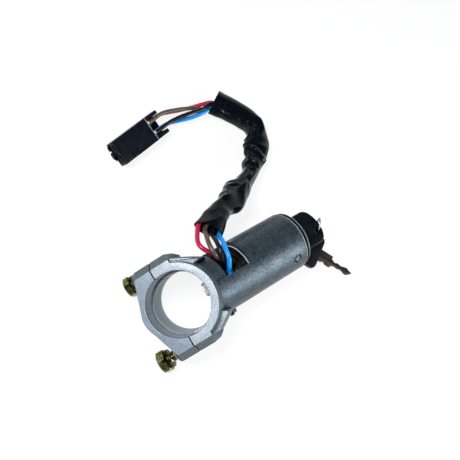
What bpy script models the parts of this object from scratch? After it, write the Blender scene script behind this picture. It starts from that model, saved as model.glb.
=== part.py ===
"""Steering column ignition lock: clamp, barrel, switch, harness, connector and two keys.

The lock is laid out in its own frame, in which X is the barrel axis towards the key,
and one empty turns that frame to the attitude in which the lock rests on a table.
The harness and the spare key are laid out on the table itself.
"""
import math

import bmesh
import bpy
from mathutils import Matrix, Vector

MM = 0.001

# Fits between neighbouring pieces
FIT = 0.3 * MM
HOLE_FIT = 0.4 * MM

# Resting attitude of the lock on the table, and the shift that centres its box
REST_PITCH = math.radians(4.6)
REST_ROLL = math.radians(4.95)
CENTRE_X = 56.425 * MM
CENTRE_Y = -4.46 * MM

# Clamp ring, measured along its own axis from the front face
CLAMP_LEAN = math.radians(38.0)
CLAMP_OFFSET = 12.2 * MM
CLAMP_DEPTH = 32.0 * MM
BORE_RADIUS = 20.0 * MM
REAR_BORE_RADIUS = BORE_RADIUS - 1.2 * MM
REAR_BORE_SHIFT = -0.6 * MM
LAND_DEPTH = 14.0 * MM
COLLAR_RADIUS = BORE_RADIUS + 5.0 * MM
SPLIT_U = -4.6 * MM
SPLIT_GAP = 0.4 * MM
EAR_FRONT = 26.0 * MM
EAR_MIDDLE = 30.5 * MM
EAR_REAR = 28.0 * MM
EAR_BEVEL = 7.0 * MM
EAR_INSET = 0.3 * MM
EAR_END_U = 8.5 * MM
CAP_CORNER_U = -16.2 * MM
CAP_APEX_U = -24.3 * MM
CAP_APEX_HALF = 6.0 * MM
CAP_SWELL = 0.8 * MM
WEB_FRONT = 9.0 * MM
WEB_REAR = 24.0 * MM

# Clamp bolts
BOLT_HALF_SPAN = 25.2 * MM
BOLT_DEPTH = 16.0 * MM
BOLT_RADIUS = 3.5 * MM
BOLT_HEAD_FLATS = 13.0 * MM
BOLT_HEAD_HEIGHT = 5.5 * MM
BOLT_SEAT_U = -20.5 * MM
BOLT_SEAT_RADIUS = 7.2 * MM
BOLT_TIP_U = 6.5 * MM
WASHER_RADIUS = 5.9 * MM
WASHER_THICKNESS = 1.8 * MM
UPPER_HEAD_GAP = 0.6 * MM
LOWER_HEAD_GAP = 5.4 * MM

# Barrel tube
TUBE_RADIUS = 20.0 * MM
TUBE_WALL = 3.5 * MM
REST_LIFT = TUBE_RADIUS + 7.67 * MM
TUBE_START_X = 2.0 * MM
TUBE_END_X = 97.0 * MM
TUBE_CHAMFER = 0.9 * MM
FLOOR_RADIUS = BORE_RADIUS + 3.5 * MM
WINDOW_START_X = 34.0 * MM
WINDOW_END_X = 52.7 * MM
WINDOW_EDGE_Y = -0.5 * MM
WINDOW_LOW_Z = -3.5 * MM
SHOULDER_DEPTH = 1.2 * MM
SHOULDER_START_X = 14.0 * MM
LUG_X = 37.0 * MM
LUG_Z = -8.0 * MM
LUG_RADIUS = 3.6 * MM
LUG_REACH = TUBE_RADIUS + 2.4 * MM
PIN_RADIUS = 1.5 * MM

# Lock sleeve, plug and wafers
SLEEVE_START_X = 65.6 * MM
SLEEVE_LIP_RADIUS = TUBE_RADIUS - 0.8 * MM
SLEEVE_GROOVE_RADIUS = TUBE_RADIUS - 2.4 * MM
SLEEVE_GROOVE_END = 98.4 * MM
SLEEVE_LIP_END = 99.8 * MM
PLUG_RADIUS = 7.5 * MM
PLUG_FACE_X = 100.2 * MM
TAIL_RADIUS = 2.4 * MM
TAIL_END_X = 42.4 * MM
KEYWAY_WIDTH = 9.4 * MM
KEYWAY_HEIGHT = 2.9 * MM
WAFER_COUNT = 5
WAFER_THICKNESS = 1.2 * MM
WAFER_PITCH = 4.2 * MM
WAFER_FIRST_X = 75.0 * MM
SCREW_X = 87.4 * MM
SCREW_ANGLE = math.radians(-44.0)
SCREW_HEAD_RADIUS = 2.9 * MM
SCREW_SHANK_RADIUS = 1.5 * MM

# Steering lock tongue
TONGUE_TIP_U = 14.8 * MM
TONGUE_REAR_X = 41.4 * MM
TONGUE_LOW_Y = -5.0 * MM
TONGUE_HIGH_Y = 3.5 * MM
TONGUE_LOW_Z = 5.4 * MM
TONGUE_HIGH_Z = 11.9 * MM
SPRING_POCKET_X = 29.4 * MM
SPRING_RADIUS = 2.1 * MM
SPRING_WIRE = 0.35 * MM
SPRING_TURNS = 8
CAM_START_X = 43.0 * MM
CAM_END_X = 47.6 * MM
CAM_RADIUS = 3.9 * MM
TONGUE_TRAVEL = 7.0 * MM

# Switch
SWITCH_FACE_X = 52.6 * MM
SWITCH_REAR_X = 65.0 * MM
SWITCH_STEP_X = 50.8 * MM
SWITCH_STEP_RADIUS = TUBE_RADIUS - TUBE_WALL - 2.9 * MM
SWITCH_NOSE_X = 49.1 * MM
SWITCH_NOSE_RADIUS = TUBE_RADIUS - TUBE_WALL - 4.9 * MM
DRUM_RADIUS = TUBE_RADIUS - TUBE_WALL - 5.1 * MM
DRUM_START_X = 55.4 * MM
DRUM_END_X = 63.2 * MM
TERMINAL_END_X = 48.8 * MM

# Harness, laid out on the table in table millimetres before centring
WIRE_RADIUS = 1.5 * MM
WIRE_POINT_COUNT = 64
BUNDLE_OFFSET = 2.75
MOUTH_PITCH = 4.2
MOUTH_RUN = 4.0
INNER_SHIFT = 2.4
SLEEVE_WALL = 0.8
SLEEVE_STEPS = 34
# x, y, z of the centreline, half width and half height of the vinyl sleeve
SLEEVE_ROUTE = (
    (46.2, 30.3, 38.0, 9.6, 5.8),
    (54.8, 35.3, 34.0, 9.2, 6.2),
    (65.3, 40.0, 29.0, 8.8, 6.6),
    (80.3, 43.7, 22.0, 8.6, 6.8),
    (95.4, 50.9, 16.0, 8.2, 6.8),
    (107.7, 57.2, 12.0, 7.8, 6.8),
    (119.6, 64.9, 9.6, 7.6, 6.8),
    (128.0, 76.0, 8.6, 7.8, 6.8),
    (131.4, 90.0, 8.4, 8.6, 6.8),
    (126.0, 104.0, 8.4, 8.4, 6.6),
    (117.2, 117.6, 8.4, 9.0, 6.4),
)
# Way of each wire from its terminal, over the window edge, to the mouth of the sleeve
LEAD_IN = {
    "red": ((43.8, 13.0, 2.5), (40.5, 14.2, 6.5), (37.5, 16.0, 11.5), (35.6, 17.0, 14.8),
            (33.3, 18.0, 16.6), (30.9, 20.6, 17.4), (30.0, 24.6, 16.6), (32.2, 29.0, 14.6)),
    "brown": ((43.8, 10.5, 8.0), (40.2, 11.2, 11.5), (37.4, 11.2, 15.4), (35.3, 12.8, 18.6),
              (33.9, 15.8, 20.3), (34.6, 21.8, 19.6), (37.4, 27.0, 16.6)),
    "black": ((43.8, 5.8, 10.5), (40.8, 6.8, 13.8), (38.2, 8.0, 17.4), (37.2, 10.8, 20.2),
              (38.0, 15.4, 21.5), (40.1, 21.1, 19.0)),
    "blue": ((43.8, -8.4, 6.6), (42.2, -8.2, 10.4), (40.8, -6.2, 13.7), (39.6, -1.8, 14.25),
             (39.1, 1.4, 15.4), (38.8, 4.6, 20.0), (39.8, 8.8, 22.7), (41.6, 15.4, 21.9),
             (44.2, 20.6, 18.8)),
}
LEAD_OUT = {
    "red": ((109.8, 120.6, 7.4), (101.9, 122.6, 5.6), (91.0, 124.8, 5.4), (82.9, 126.4, 6.2)),
    "brown": ((109.6, 117.2, 5.4), (101.5, 120.0, 8.6), (95.0, 121.6, 10.0), (88.5, 123.2, 10.8)),
    "black": ((105.5, 115.4, 11.8), (94.9, 116.6, 11.4), (86.0, 117.6, 10.2)),
    "blue": ((105.6, 113.8, 8.6), (95.2, 115.1, 6.8), (86.5, 117.6, 5.2)),
}
WIRES = ("red", "brown", "black", "blue")

# Connector: wire side, direction, size in table millimetres; it leans on one long edge
CONNECTOR_START = (72.17, 123.26)
CONNECTOR_END = (31.33, 114.43)
CONNECTOR_ROLL = math.radians(-21.8)
CONNECTOR_WIDTH = 17.9
CONNECTOR_HEIGHT = 11.0
CONNECTOR_WING = 11.5
CONNECTOR_WING_WIDTH = 2.6
CONNECTOR_STEP = 33.8
CONNECTOR_STEP_DROP = 1.0
CAVITY_WIDTH = 6.0
CAVITY_HEIGHT = 3.6
CAVITY_PITCH_Y = 8.2
CAVITY_PITCH_Z = 4.8
CAVITY_MIDDLE_Z = 4.9
CONTACT_START = 9.0
CONTACT_FIT = 0.55
# Column and row of the cavity that each wire goes to
CAVITY_OF = {"red": (-1.0, -1.0), "brown": (-1.0, 1.0), "black": (1.0, 1.0), "blue": (1.0, -1.0)}
# Rounded guide lugs under the mating face: outlines of length beyond it and sideways place
GUIDE_LUGS = (
    ((-1.0, -7.9), (0.5, -7.9), (1.1, -6.6), (1.2, -5.0), (1.0, -3.7), (-1.0, -3.7)),
    ((-1.0, -2.8), (1.2, -2.8), (1.9, -1.6), (2.1, 0.0), (1.9, 1.6), (1.2, 3.2), (0.9, 4.0), (-1.0, 4.0)),
)

# Keys
BLADE_WIDTH = 8.6 * MM
BLADE_THICKNESS = 2.2 * MM
BLADE_REACH = 28.2 * MM
# Cut profile of the two blade edges: place along the blade and share of the half width
UPPER_CUTS = ((9.6, 1.0), (-2.9, 1.0), (-4.2, 0.76), (-5.4, 0.74), (-6.9, 1.0), (-10.5, 1.0), (-11.4, 0.64),
              (-13.2, 0.4), (-14.6, 0.34), (-16.6, 0.42), (-18.4, 0.3), (-19.6, 0.26), (-22.0, 0.4),
              (-24.0, 0.56), (-25.4, 0.46), (-27.2, 0.12))
LOWER_CUTS = ((9.6, 1.0), (-10.3, 1.0), (-10.1, 0.52), (-11.4, 0.34), (-12.9, 0.16), (-15.2, 0.36), (-18.6, 0.26),
              (-20.6, 0.4), (-23.2, 0.56), (-25.2, 0.34), (-27.6, 0.22))
HEAD_WIDTH = 25.4 * MM
HEAD_LENGTH = 23.4 * MM
HEAD_THICKNESS = 5.6 * MM
HEAD_GAP = 2.4 * MM
KEY_HOLE_RADIUS = 2.2 * MM
KEY_HOLE_X = 18.6 * MM
KEY_HOLE_Y = -4.8 * MM
# Bent wire loop through both heads: places in each key's own millimetres, from the hole axis
RING_WIRE = 0.6 * MM
RING_STEPS = 48
RING_AT_FIRST = ((-1.8, 0.0, -4.2), (0.0, 0.0, -1.8), (0.0, 0.0, 1.8), (0.6, 0.9, 4.6), (2.9, 4.4, 6.2),
                 (5.4, 6.9, 4.8), (6.6, 6.2, 0.0), (5.2, 3.6, -5.0))
RING_AT_SPARE = ((4.4, -8.9, 2.2), (2.8, -9.2, -2.8), (0.6, -3.4, -5.0), (0.0, 0.0, -2.4), (0.0, 0.0, 2.2))
SPARE_POSITION = (119.2, -18.6, REST_LIFT / MM - 21.77)
SPARE_HEADING = math.radians(121.5)
SPARE_PITCH = math.radians(-9.0)


def clear_scene():
    """Remove everything that the start file brings along."""
    for obj in list(bpy.data.objects):
        bpy.data.objects.remove(obj, do_unlink=True)


def make_material(name, colour, metallic, roughness):
    """Return a Principled material."""
    mat = bpy.data.materials.new(name)
    mat.use_nodes = True
    shader = mat.node_tree.nodes["Principled BSDF"]
    shader.inputs["Base Color"].default_value = (*colour, 1.0)
    shader.inputs["Metallic"].default_value = metallic
    shader.inputs["Roughness"].default_value = roughness
    return mat


def add_mesh(name, verts, faces, mat=None, smooth=None):
    """Make an object from vertices and faces, with outward normals."""
    mesh = bpy.data.meshes.new(name)
    bm = bmesh.new()
    made = [bm.verts.new(v) for v in verts]
    for face in faces:
        bm.faces.new([made[i] for i in face])
    bmesh.ops.recalc_face_normals(bm, faces=bm.faces)
    bm.to_mesh(mesh)
    bm.free()
    if smooth is not None:
        mesh.shade_smooth()
        mesh.set_sharp_from_angle(angle=math.radians(smooth))
    obj = bpy.data.objects.new(name, mesh)
    bpy.context.scene.collection.objects.link(obj)
    if mat is not None:
        mesh.materials.append(mat)
    return obj


def loft(name, sections, mat=None, smooth=None, closed=False):
    """Skin equal-length loops of points, capped at both ends or joined end to start."""
    count = len(sections[0])
    verts = [point for section in sections for point in section]
    faces = []
    pairs = len(sections) if closed else len(sections) - 1
    for level in range(pairs):
        low = level * count
        high = ((level + 1) % len(sections)) * count
        for i in range(count):
            j = (i + 1) % count
            faces.append((low + i, low + j, high + j, high + i))
    if not closed:
        faces.append(tuple(range(count)))
        faces.append(tuple(range(len(verts) - count, len(verts))))
    return add_mesh(name, verts, faces, mat, smooth)


def place(obj, matrix):
    """Bake a matrix into the mesh of an object."""
    obj.data.transform(matrix)
    obj.data.update()
    return obj


def box(name, low, high, mat=None):
    """Make a box between two corners."""
    x0, y0, z0 = low
    x1, y1, z1 = high
    base = [(x0, y0, z0), (x1, y0, z0), (x1, y1, z0), (x0, y1, z0)]
    top = [(x, y, z1) for x, y, _ in base]
    return loft(name, [base, top], mat)


def prism(name, outline, start, end, mat=None, smooth=None):
    """Extrude a flat outline of (x, y) points along Z."""
    return loft(name, [[(x, y, start) for x, y in outline], [(x, y, end) for x, y in outline]], mat, smooth)


def turned(name, profile, segments, mat=None, smooth=30.0):
    """Turn a closed profile of (x, radius) points around the X axis."""
    sections = []
    for step in range(segments):
        angle = 2.0 * math.pi * step / segments
        sections.append([(x, r * math.sin(angle), r * math.cos(angle)) for x, r in profile])
    return loft(name, sections, mat, smooth, closed=True)


def shaft(name, profile, segments, mat=None, smooth=30.0):
    """Turn an open profile of (x, radius) points around X and cap both ends flat."""
    sections = []
    for x, r in profile:
        ring = []
        for step in range(segments):
            angle = 2.0 * math.pi * step / segments
            ring.append((x, r * math.sin(angle), r * math.cos(angle)))
        sections.append(ring)
    return loft(name, sections, mat, smooth)


def as_cutter(obj):
    """Hide a helper solid from the render and draw it as a wire."""
    obj.hide_render = True
    obj.display_type = "WIRE"
    return obj


def combine(obj, others, operation):
    """Join or cut an object with helper solids by exact Booleans."""
    for other in others:
        as_cutter(other)
        modifier = obj.modifiers.new(other.name, "BOOLEAN")
        modifier.operation = operation
        modifier.solver = "EXACT"
        modifier.object = other
    return obj


def ring_matrix():
    """Return the matrix from the clamp frame (u, v, n) to the lock frame."""
    c = math.cos(CLAMP_LEAN)
    s = math.sin(CLAMP_LEAN)
    return Matrix(((c, 0.0, -s, 0.0), (0.0, 1.0, 0.0, 0.0), (s, 0.0, c, CLAMP_OFFSET), (0.0, 0.0, 0.0, 1.0)))


def along_clamp(name, radius, front, rear, segments, shift=0.0):
    """Make a cylinder along the clamp axis, in the lock frame."""
    outline = []
    for step in range(segments):
        angle = 2.0 * math.pi * (step + 0.5) / segments
        outline.append((shift + radius * math.cos(angle), radius * math.sin(angle)))
    return place(prism(name, outline, -rear, -front, None, 30.0), ring_matrix())


def ear_levels():
    """Return depth and half width of the ears at each change of slope."""
    return (
        (EAR_INSET, EAR_FRONT, 0.0),
        (EAR_BEVEL, EAR_MIDDLE, CAP_SWELL),
        (CLAMP_DEPTH - EAR_BEVEL, EAR_MIDDLE, CAP_SWELL),
        (CLAMP_DEPTH - EAR_INSET, EAR_REAR, 0.0),
    )


def bore_cutters(tag):
    """Return the front land cutter and the longer rear bore cutter."""
    front = along_clamp(tag + "_front_land_cutter", BORE_RADIUS, -5 * MM, LAND_DEPTH, 80)
    rear = along_clamp(tag + "_rear_bore_cutter", REAR_BORE_RADIUS, -4 * MM, 75 * MM, 80, REAR_BORE_SHIFT)
    return [front, rear]


def split_box(name, low_u, high_u):
    """Return a large box across the clamp between two distances from its centre."""
    size = 60 * MM
    return place(box(name, (low_u, -size, -1.5 * size), (high_u, size, 0.5 * size)), ring_matrix())


def bolt_line(name, v, radius, start_u, end_u, segments=24):
    """Make a cylinder along u at the depth of the clamp bolts."""
    rod = shaft(name, [(start_u, radius), (end_u, radius)], segments)
    return place(rod, ring_matrix() @ Matrix.Translation((0.0, v, -BOLT_DEPTH)))


def clamp_half_of_housing():
    """Return the helper solids that make the clamp half on the housing."""
    collar = along_clamp("collar_helper", COLLAR_RADIUS, 0.0, CLAMP_DEPTH, 96)
    sections = []
    for depth, half, _ in ear_levels():
        sections.append([(SPLIT_U - 6 * MM, -half, -depth), (EAR_END_U, -half, -depth),
                         (EAR_END_U, half, -depth), (SPLIT_U - 6 * MM, half, -depth)])
    ears = place(loft("ears_helper", sections), ring_matrix())
    web = []
    for side in (1.0, -1.0):
        half = [(6.0, 28.6), (10.5, 27.2), (23.8, 17.8), (26.0, 9.0)]
        points = half if side > 0 else list(reversed(half))
        web.extend((u * MM, side * v * MM) for u, v in points)
    web.extend([(0.0, -26.0 * MM), (0.0, 26.0 * MM)])
    webs = place(prism("webs_helper", web, -WEB_REAR, -WEB_FRONT), ring_matrix())
    return collar, ears, webs


def lug_solid(name, radius, start_y, end_y, mat=None):
    """Make a cylinder across the barrel for the small lug or its pin."""
    rod = shaft(name, [(0.0, radius), (end_y - start_y, radius)], 20, mat)
    turn = Matrix.Rotation(-math.pi / 2.0, 4, "Z")
    return place(rod, Matrix.Translation((LUG_X, -start_y, LUG_Z)) @ turn)


def screw_matrix():
    """Return the matrix that points local X outwards along the housing screw."""
    turn = Matrix.Rotation(-SCREW_ANGLE, 4, "X") @ Matrix.Rotation(-math.pi / 2.0, 4, "Y")
    return Matrix.Translation((SCREW_X, 0.0, 0.0)) @ turn


def build_housing(mat):
    """Build the casting: clamp half, webs and barrel tube with its window."""
    r = TUBE_RADIUS
    profile = [(TUBE_START_X, r), (TUBE_END_X - TUBE_CHAMFER, r), (TUBE_END_X, r - TUBE_CHAMFER)]
    housing = shaft("lock_housing", profile, 96, mat, 30.0)
    relief = turned("shoulder_cutter", [(SHOULDER_START_X, r - SHOULDER_DEPTH), (SHOULDER_START_X, r + 3 * MM),
                                        (WINDOW_START_X + MM, r + 3 * MM), (WINDOW_START_X + MM, r - SHOULDER_DEPTH)],
                    96)
    keep = box("shoulder_side_cutter", (0.0, -30 * MM, -30 * MM), (60 * MM, WINDOW_EDGE_Y, 30 * MM))
    combine(relief, [keep], "DIFFERENCE")
    low = box("shoulder_low_cutter", (0.0, -30 * MM, -30 * MM), (60 * MM, 30 * MM, WINDOW_LOW_Z))
    combine(relief, [low], "DIFFERENCE")
    combine(housing, [relief], "DIFFERENCE")
    lug = lug_solid("lug_helper", LUG_RADIUS, r - 5 * MM, LUG_REACH)
    combine(housing, [*clamp_half_of_housing(), lug], "UNION")

    cavity = shaft("cavity_cutter", [(20 * MM, r - TUBE_WALL), (TUBE_END_X + 5 * MM, r - TUBE_WALL)], 96)
    combine(cavity, [along_clamp("floor_cutter", FLOOR_RADIUS, -40 * MM, 90 * MM, 80)], "DIFFERENCE")
    window = box("window_cutter", (WINDOW_START_X, WINDOW_EDGE_Y, WINDOW_LOW_Z),
                 (WINDOW_END_X, 30 * MM, 30 * MM))
    guide = box("tongue_guide_cutter", (8 * MM, TONGUE_LOW_Y - FIT, TONGUE_LOW_Z - FIT),
                (42 * MM, TONGUE_HIGH_Y + FIT, TONGUE_HIGH_Z + FIT))
    cutters = [split_box("housing_split_cutter", -90 * MM, SPLIT_U + SPLIT_GAP / 2.0)]
    cutters += bore_cutters("housing")
    cutters += [cavity, window, guide]
    for side, v in (("upper", BOLT_HALF_SPAN), ("lower", -BOLT_HALF_SPAN)):
        cutters.append(bolt_line("housing_" + side + "_bolt_cutter", v, BOLT_RADIUS + HOLE_FIT, -30 * MM,
                                 EAR_END_U + 2 * MM))
    sink = [(r - 7 * MM, SCREW_SHANK_RADIUS + FIT), (r - 2.2 * MM, SCREW_SHANK_RADIUS + FIT),
            (r - 0.6 * MM, SCREW_HEAD_RADIUS + FIT), (r + 3 * MM, SCREW_HEAD_RADIUS + FIT)]
    cutters.append(place(shaft("screw_cutter", sink, 24), screw_matrix()))
    cutters.append(lug_solid("lug_pin_cutter", PIN_RADIUS + FIT, r - 1.6 * MM, LUG_REACH + 3 * MM))
    combine(housing, cutters, "DIFFERENCE")
    return housing


def cap_outline(half, swell):
    """Return one outline of the cap in the clamp plane, at one depth."""
    top = [(SPLIT_U - SPLIT_GAP / 2.0, half), (CAP_CORNER_U - swell * 0.6, half),
           (CAP_APEX_U + 2.9 * MM - swell, CAP_APEX_HALF + 4.0 * MM),
           (CAP_APEX_U + 1.2 * MM - swell, CAP_APEX_HALF),
           (CAP_APEX_U + 0.3 * MM - swell, CAP_APEX_HALF * 0.5), (CAP_APEX_U - swell, 0.0)]
    lower = [(u, -v) for u, v in reversed(top[:-1])]
    return top + lower


def build_cap(mat):
    """Build the clamp cap with its bolt seats."""
    sections = [[(u, v, -depth) for u, v in cap_outline(half, swell)] for depth, half, swell in ear_levels()]
    cap = place(loft("clamp_cap", sections, mat, 25.0), ring_matrix())
    seats = []
    for side, v in (("upper", BOLT_HALF_SPAN - 1.5 * MM), ("lower", -BOLT_HALF_SPAN + 1.5 * MM)):
        seats.append(bolt_line(side + "_seat_helper", v, BOLT_SEAT_RADIUS, BOLT_SEAT_U, SPLIT_U - 6 * MM, 32))
    combine(cap, seats, "UNION")
    cutters = bore_cutters("cap")
    for side, v in (("upper", BOLT_HALF_SPAN), ("lower", -BOLT_HALF_SPAN)):
        cutters.append(bolt_line("cap_" + side + "_bolt_cutter", v, BOLT_RADIUS + HOLE_FIT, -40 * MM, 5 * MM))
    combine(cap, cutters, "DIFFERENCE")
    return cap


def build_bolt(name, v, head_gap, mat):
    """Build one clamp bolt with a hexagon head beyond its spring washer."""
    head_start = BOLT_SEAT_U - WASHER_THICKNESS - head_gap
    head_end = head_start - BOLT_HEAD_HEIGHT
    corner = BOLT_HEAD_FLATS / math.sqrt(3.0)
    sections = []
    levels = [(head_end, corner * 0.84), (head_end + 0.9 * MM, corner), (head_start, corner)]
    for u, radius in levels:
        sections.append([(u, radius * math.sin(math.radians(60 * i + 12)), radius * math.cos(math.radians(60 * i + 12)))
                         for i in range(6)])
    bolt = loft(name, sections, mat)
    shank = shaft(name + "_shank_helper", [(head_end + 2 * MM, BOLT_RADIUS), (BOLT_TIP_U - 0.8 * MM, BOLT_RADIUS),
                                           (BOLT_TIP_U, BOLT_RADIUS - 0.8 * MM)], 24)
    combine(bolt, [shank], "UNION")
    matrix = ring_matrix() @ Matrix.Translation((0.0, v, -BOLT_DEPTH))
    place(shank, matrix)
    return place(bolt, matrix)


def build_washer(name, v, start_u, mat):
    """Build a split spring washer."""
    inner = BOLT_RADIUS + HOLE_FIT
    profile = [(start_u, inner), (start_u, WASHER_RADIUS), (start_u + WASHER_THICKNESS, WASHER_RADIUS),
               (start_u + WASHER_THICKNESS, inner)]
    sections = []
    for step in range(31):
        angle = math.radians(40.0 + 348.0 * step / 30.0)
        sections.append([(x, rad * math.sin(angle), rad * math.cos(angle)) for x, rad in profile])
    washer = loft(name, sections, mat, 30.0)
    return place(washer, ring_matrix() @ Matrix.Translation((0.0, v, -BOLT_DEPTH)))


def build_clamp_fixings(parts, mats):
    """Build both bolts and their washers."""
    gap = 0.3 * MM
    upper_washer = BOLT_SEAT_U - WASHER_THICKNESS - gap
    lower_washer = BOLT_SEAT_U - LOWER_HEAD_GAP - WASHER_THICKNESS + gap
    parts["clamp_bolt_upper"] = build_bolt("clamp_bolt_upper", BOLT_HALF_SPAN, UPPER_HEAD_GAP, mats["zinc"])
    parts["clamp_bolt_lower"] = build_bolt("clamp_bolt_lower", -BOLT_HALF_SPAN, LOWER_HEAD_GAP, mats["zinc"])
    parts["spring_washer_upper"] = build_washer("spring_washer_upper", BOLT_HALF_SPAN, upper_washer, mats["steel"])
    parts["spring_washer_lower"] = build_washer("spring_washer_lower", -BOLT_HALF_SPAN, lower_washer, mats["steel"])


def build_tongue(mat):
    """Build the steering lock tongue with its end face square to the column."""
    tongue = box("lock_tongue", (8 * MM, TONGUE_LOW_Y, TONGUE_LOW_Z), (TONGUE_REAR_X, TONGUE_HIGH_Y, TONGUE_HIGH_Z), mat)
    pocket = shaft("spring_pocket_cutter", [(SPRING_POCKET_X, SPRING_RADIUS + SPRING_WIRE + FIT),
                                            (60 * MM, SPRING_RADIUS + SPRING_WIRE + FIT)], 20)
    place(pocket, Matrix.Translation(spring_axis()))
    combine(tongue, [split_box("tongue_tip_cutter", -60 * MM, TONGUE_TIP_U), pocket], "DIFFERENCE")
    return tongue


def spring_axis():
    """Return the point of the tongue axis at X zero."""
    return Vector((0.0, (TONGUE_LOW_Y + TONGUE_HIGH_Y) / 2.0, (TONGUE_LOW_Z + TONGUE_HIGH_Z) / 2.0))


def build_tongue_spring(mat):
    """Build the return spring between the pocket of the tongue and the switch body."""
    steps = SPRING_TURNS * 10
    start = SPRING_POCKET_X + SPRING_WIRE + FIT
    end = SWITCH_NOSE_X - SPRING_WIRE - FIT
    path = []
    for step in range(steps + 1):
        angle = 2.0 * math.pi * step / 10
        path.append(Vector((start + (end - start) * step / steps, SPRING_RADIUS * math.sin(angle),
                            SPRING_RADIUS * math.cos(angle))))
    sections = []
    for index, point in enumerate(path):
        tangent = (path[min(index + 1, steps)] - path[max(index - 1, 0)]).normalized()
        radial = Vector((0.0, point.y, point.z)).normalized()
        other = tangent.cross(radial).normalized()
        ring = []
        for part in range(5):
            turn = 2.0 * math.pi * part / 5
            ring.append(point + (radial * math.cos(turn) + other * math.sin(turn)) * SPRING_WIRE)
        sections.append(ring)
    return place(loft("tongue_spring", sections, mat, 60.0), Matrix.Translation(spring_axis()))


def build_lock_cylinder(parts, mats):
    """Build the fixed sleeve, the plug with its tail shaft, the cam and the wafers."""
    outer = TUBE_RADIUS - TUBE_WALL - FIT
    bore = PLUG_RADIUS + FIT
    start = TUBE_END_X + FIT
    profile = [(SLEEVE_START_X, bore), (SLEEVE_START_X, outer), (start, outer), (start, SLEEVE_GROOVE_RADIUS),
               (SLEEVE_GROOVE_END, SLEEVE_GROOVE_RADIUS), (SLEEVE_GROOVE_END, SLEEVE_LIP_RADIUS),
               (SLEEVE_LIP_END - 0.4 * MM, SLEEVE_LIP_RADIUS), (SLEEVE_LIP_END, SLEEVE_LIP_RADIUS - 0.4 * MM),
               (SLEEVE_LIP_END, bore)]
    sleeve = turned("lock_sleeve", profile, 48, mats["dark_zinc"])
    hole = shaft("sleeve_screw_cutter", [(11.5 * MM, SCREW_SHANK_RADIUS + FIT), (22 * MM, SCREW_SHANK_RADIUS + FIT)], 20)
    combine(sleeve, [place(hole, screw_matrix())], "DIFFERENCE")
    parts["lock_sleeve"] = sleeve

    plug = shaft("lock_plug", [(TAIL_END_X, TAIL_RADIUS), (SLEEVE_START_X - 0.2 * MM, TAIL_RADIUS),
                               (SLEEVE_START_X, PLUG_RADIUS), (PLUG_FACE_X - 0.5 * MM, PLUG_RADIUS),
                               (PLUG_FACE_X, PLUG_RADIUS - 0.5 * MM)], 40, mats["chrome"])
    cutters = [box("keyway_cutter", (PLUG_FACE_X - 30.5 * MM, -KEYWAY_WIDTH / 2.0, -KEYWAY_HEIGHT / 2.0),
                   (PLUG_FACE_X + MM, KEYWAY_WIDTH / 2.0, KEYWAY_HEIGHT / 2.0))]
    for index in range(WAFER_COUNT):
        x = WAFER_FIRST_X + index * WAFER_PITCH
        name = "wafer_%d" % (index + 1)
        cutters.append(box(name + "_slot_cutter", (x - FIT, -6.1 * MM, -3.3 * MM),
                           (x + WAFER_THICKNESS + FIT, 6.1 * MM, 3.3 * MM)))
        wafer = box(name, (x, -5.8 * MM, -3.0 * MM), (x + WAFER_THICKNESS, 5.8 * MM, 3.0 * MM), mats["brass"])
        window = box(name + "_window_cutter", (x - MM, -BLADE_WIDTH / 2.0 - FIT, -BLADE_THICKNESS / 2.0 - FIT),
                     (x + 3 * MM, BLADE_WIDTH / 2.0 + FIT, BLADE_THICKNESS / 2.0 + FIT))
        parts[name] = combine(wafer, [window], "DIFFERENCE")
    combine(plug, cutters, "DIFFERENCE")
    parts["lock_plug"] = plug

    cam = turned("lock_cam", [(CAM_START_X, TAIL_RADIUS + FIT), (CAM_START_X, CAM_RADIUS), (CAM_END_X, CAM_RADIUS),
                              (CAM_END_X, TAIL_RADIUS + FIT)], 24, mats["steel"])
    parts["lock_cam"] = cam


def build_switch(parts, mats):
    """Build the switch body with its contact drum, bridge and terminals."""
    outer = TUBE_RADIUS - TUBE_WALL - FIT
    shaft_hole = TAIL_RADIUS + 0.5 * MM
    profile = [(SWITCH_NOSE_X, shaft_hole), (SWITCH_NOSE_X, SWITCH_NOSE_RADIUS), (SWITCH_STEP_X, SWITCH_NOSE_RADIUS),
               (SWITCH_STEP_X, SWITCH_STEP_RADIUS), (SWITCH_FACE_X, SWITCH_STEP_RADIUS), (SWITCH_FACE_X, outer),
               (SWITCH_REAR_X, outer), (SWITCH_REAR_X, DRUM_RADIUS + FIT), (DRUM_START_X - FIT, DRUM_RADIUS + FIT),
               (DRUM_START_X - FIT, shaft_hole)]
    parts["switch_body"] = turned("switch_body", profile, 48, mats["black_plastic"])
    drum = turned("switch_drum", [(DRUM_START_X + MM, TAIL_RADIUS + FIT), (DRUM_START_X + MM, DRUM_RADIUS),
                                  (DRUM_END_X, DRUM_RADIUS), (DRUM_END_X, TAIL_RADIUS + FIT)], 32,
                  mats["brown_plastic"])
    parts["switch_drum"] = drum
    bridge = turned("contact_bridge", [(DRUM_START_X, 6.4 * MM), (DRUM_START_X, 9.6 * MM),
                                       (DRUM_START_X + 0.7 * MM, 9.6 * MM), (DRUM_START_X + 0.7 * MM, 6.4 * MM)], 28,
                    mats["brass"])
    parts["contact_bridge"] = bridge
    for name in WIRES:
        x, y, z = (value * MM for value in LEAD_IN[name][0])
        tab = box("terminal_" + name, (x + 0.8 * MM, y - 1.6 * MM, z - 0.4 * MM),
                  (TERMINAL_END_X, y + 1.6 * MM, z + 0.4 * MM), mats["brass"])
        parts["terminal_" + name] = tab


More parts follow.
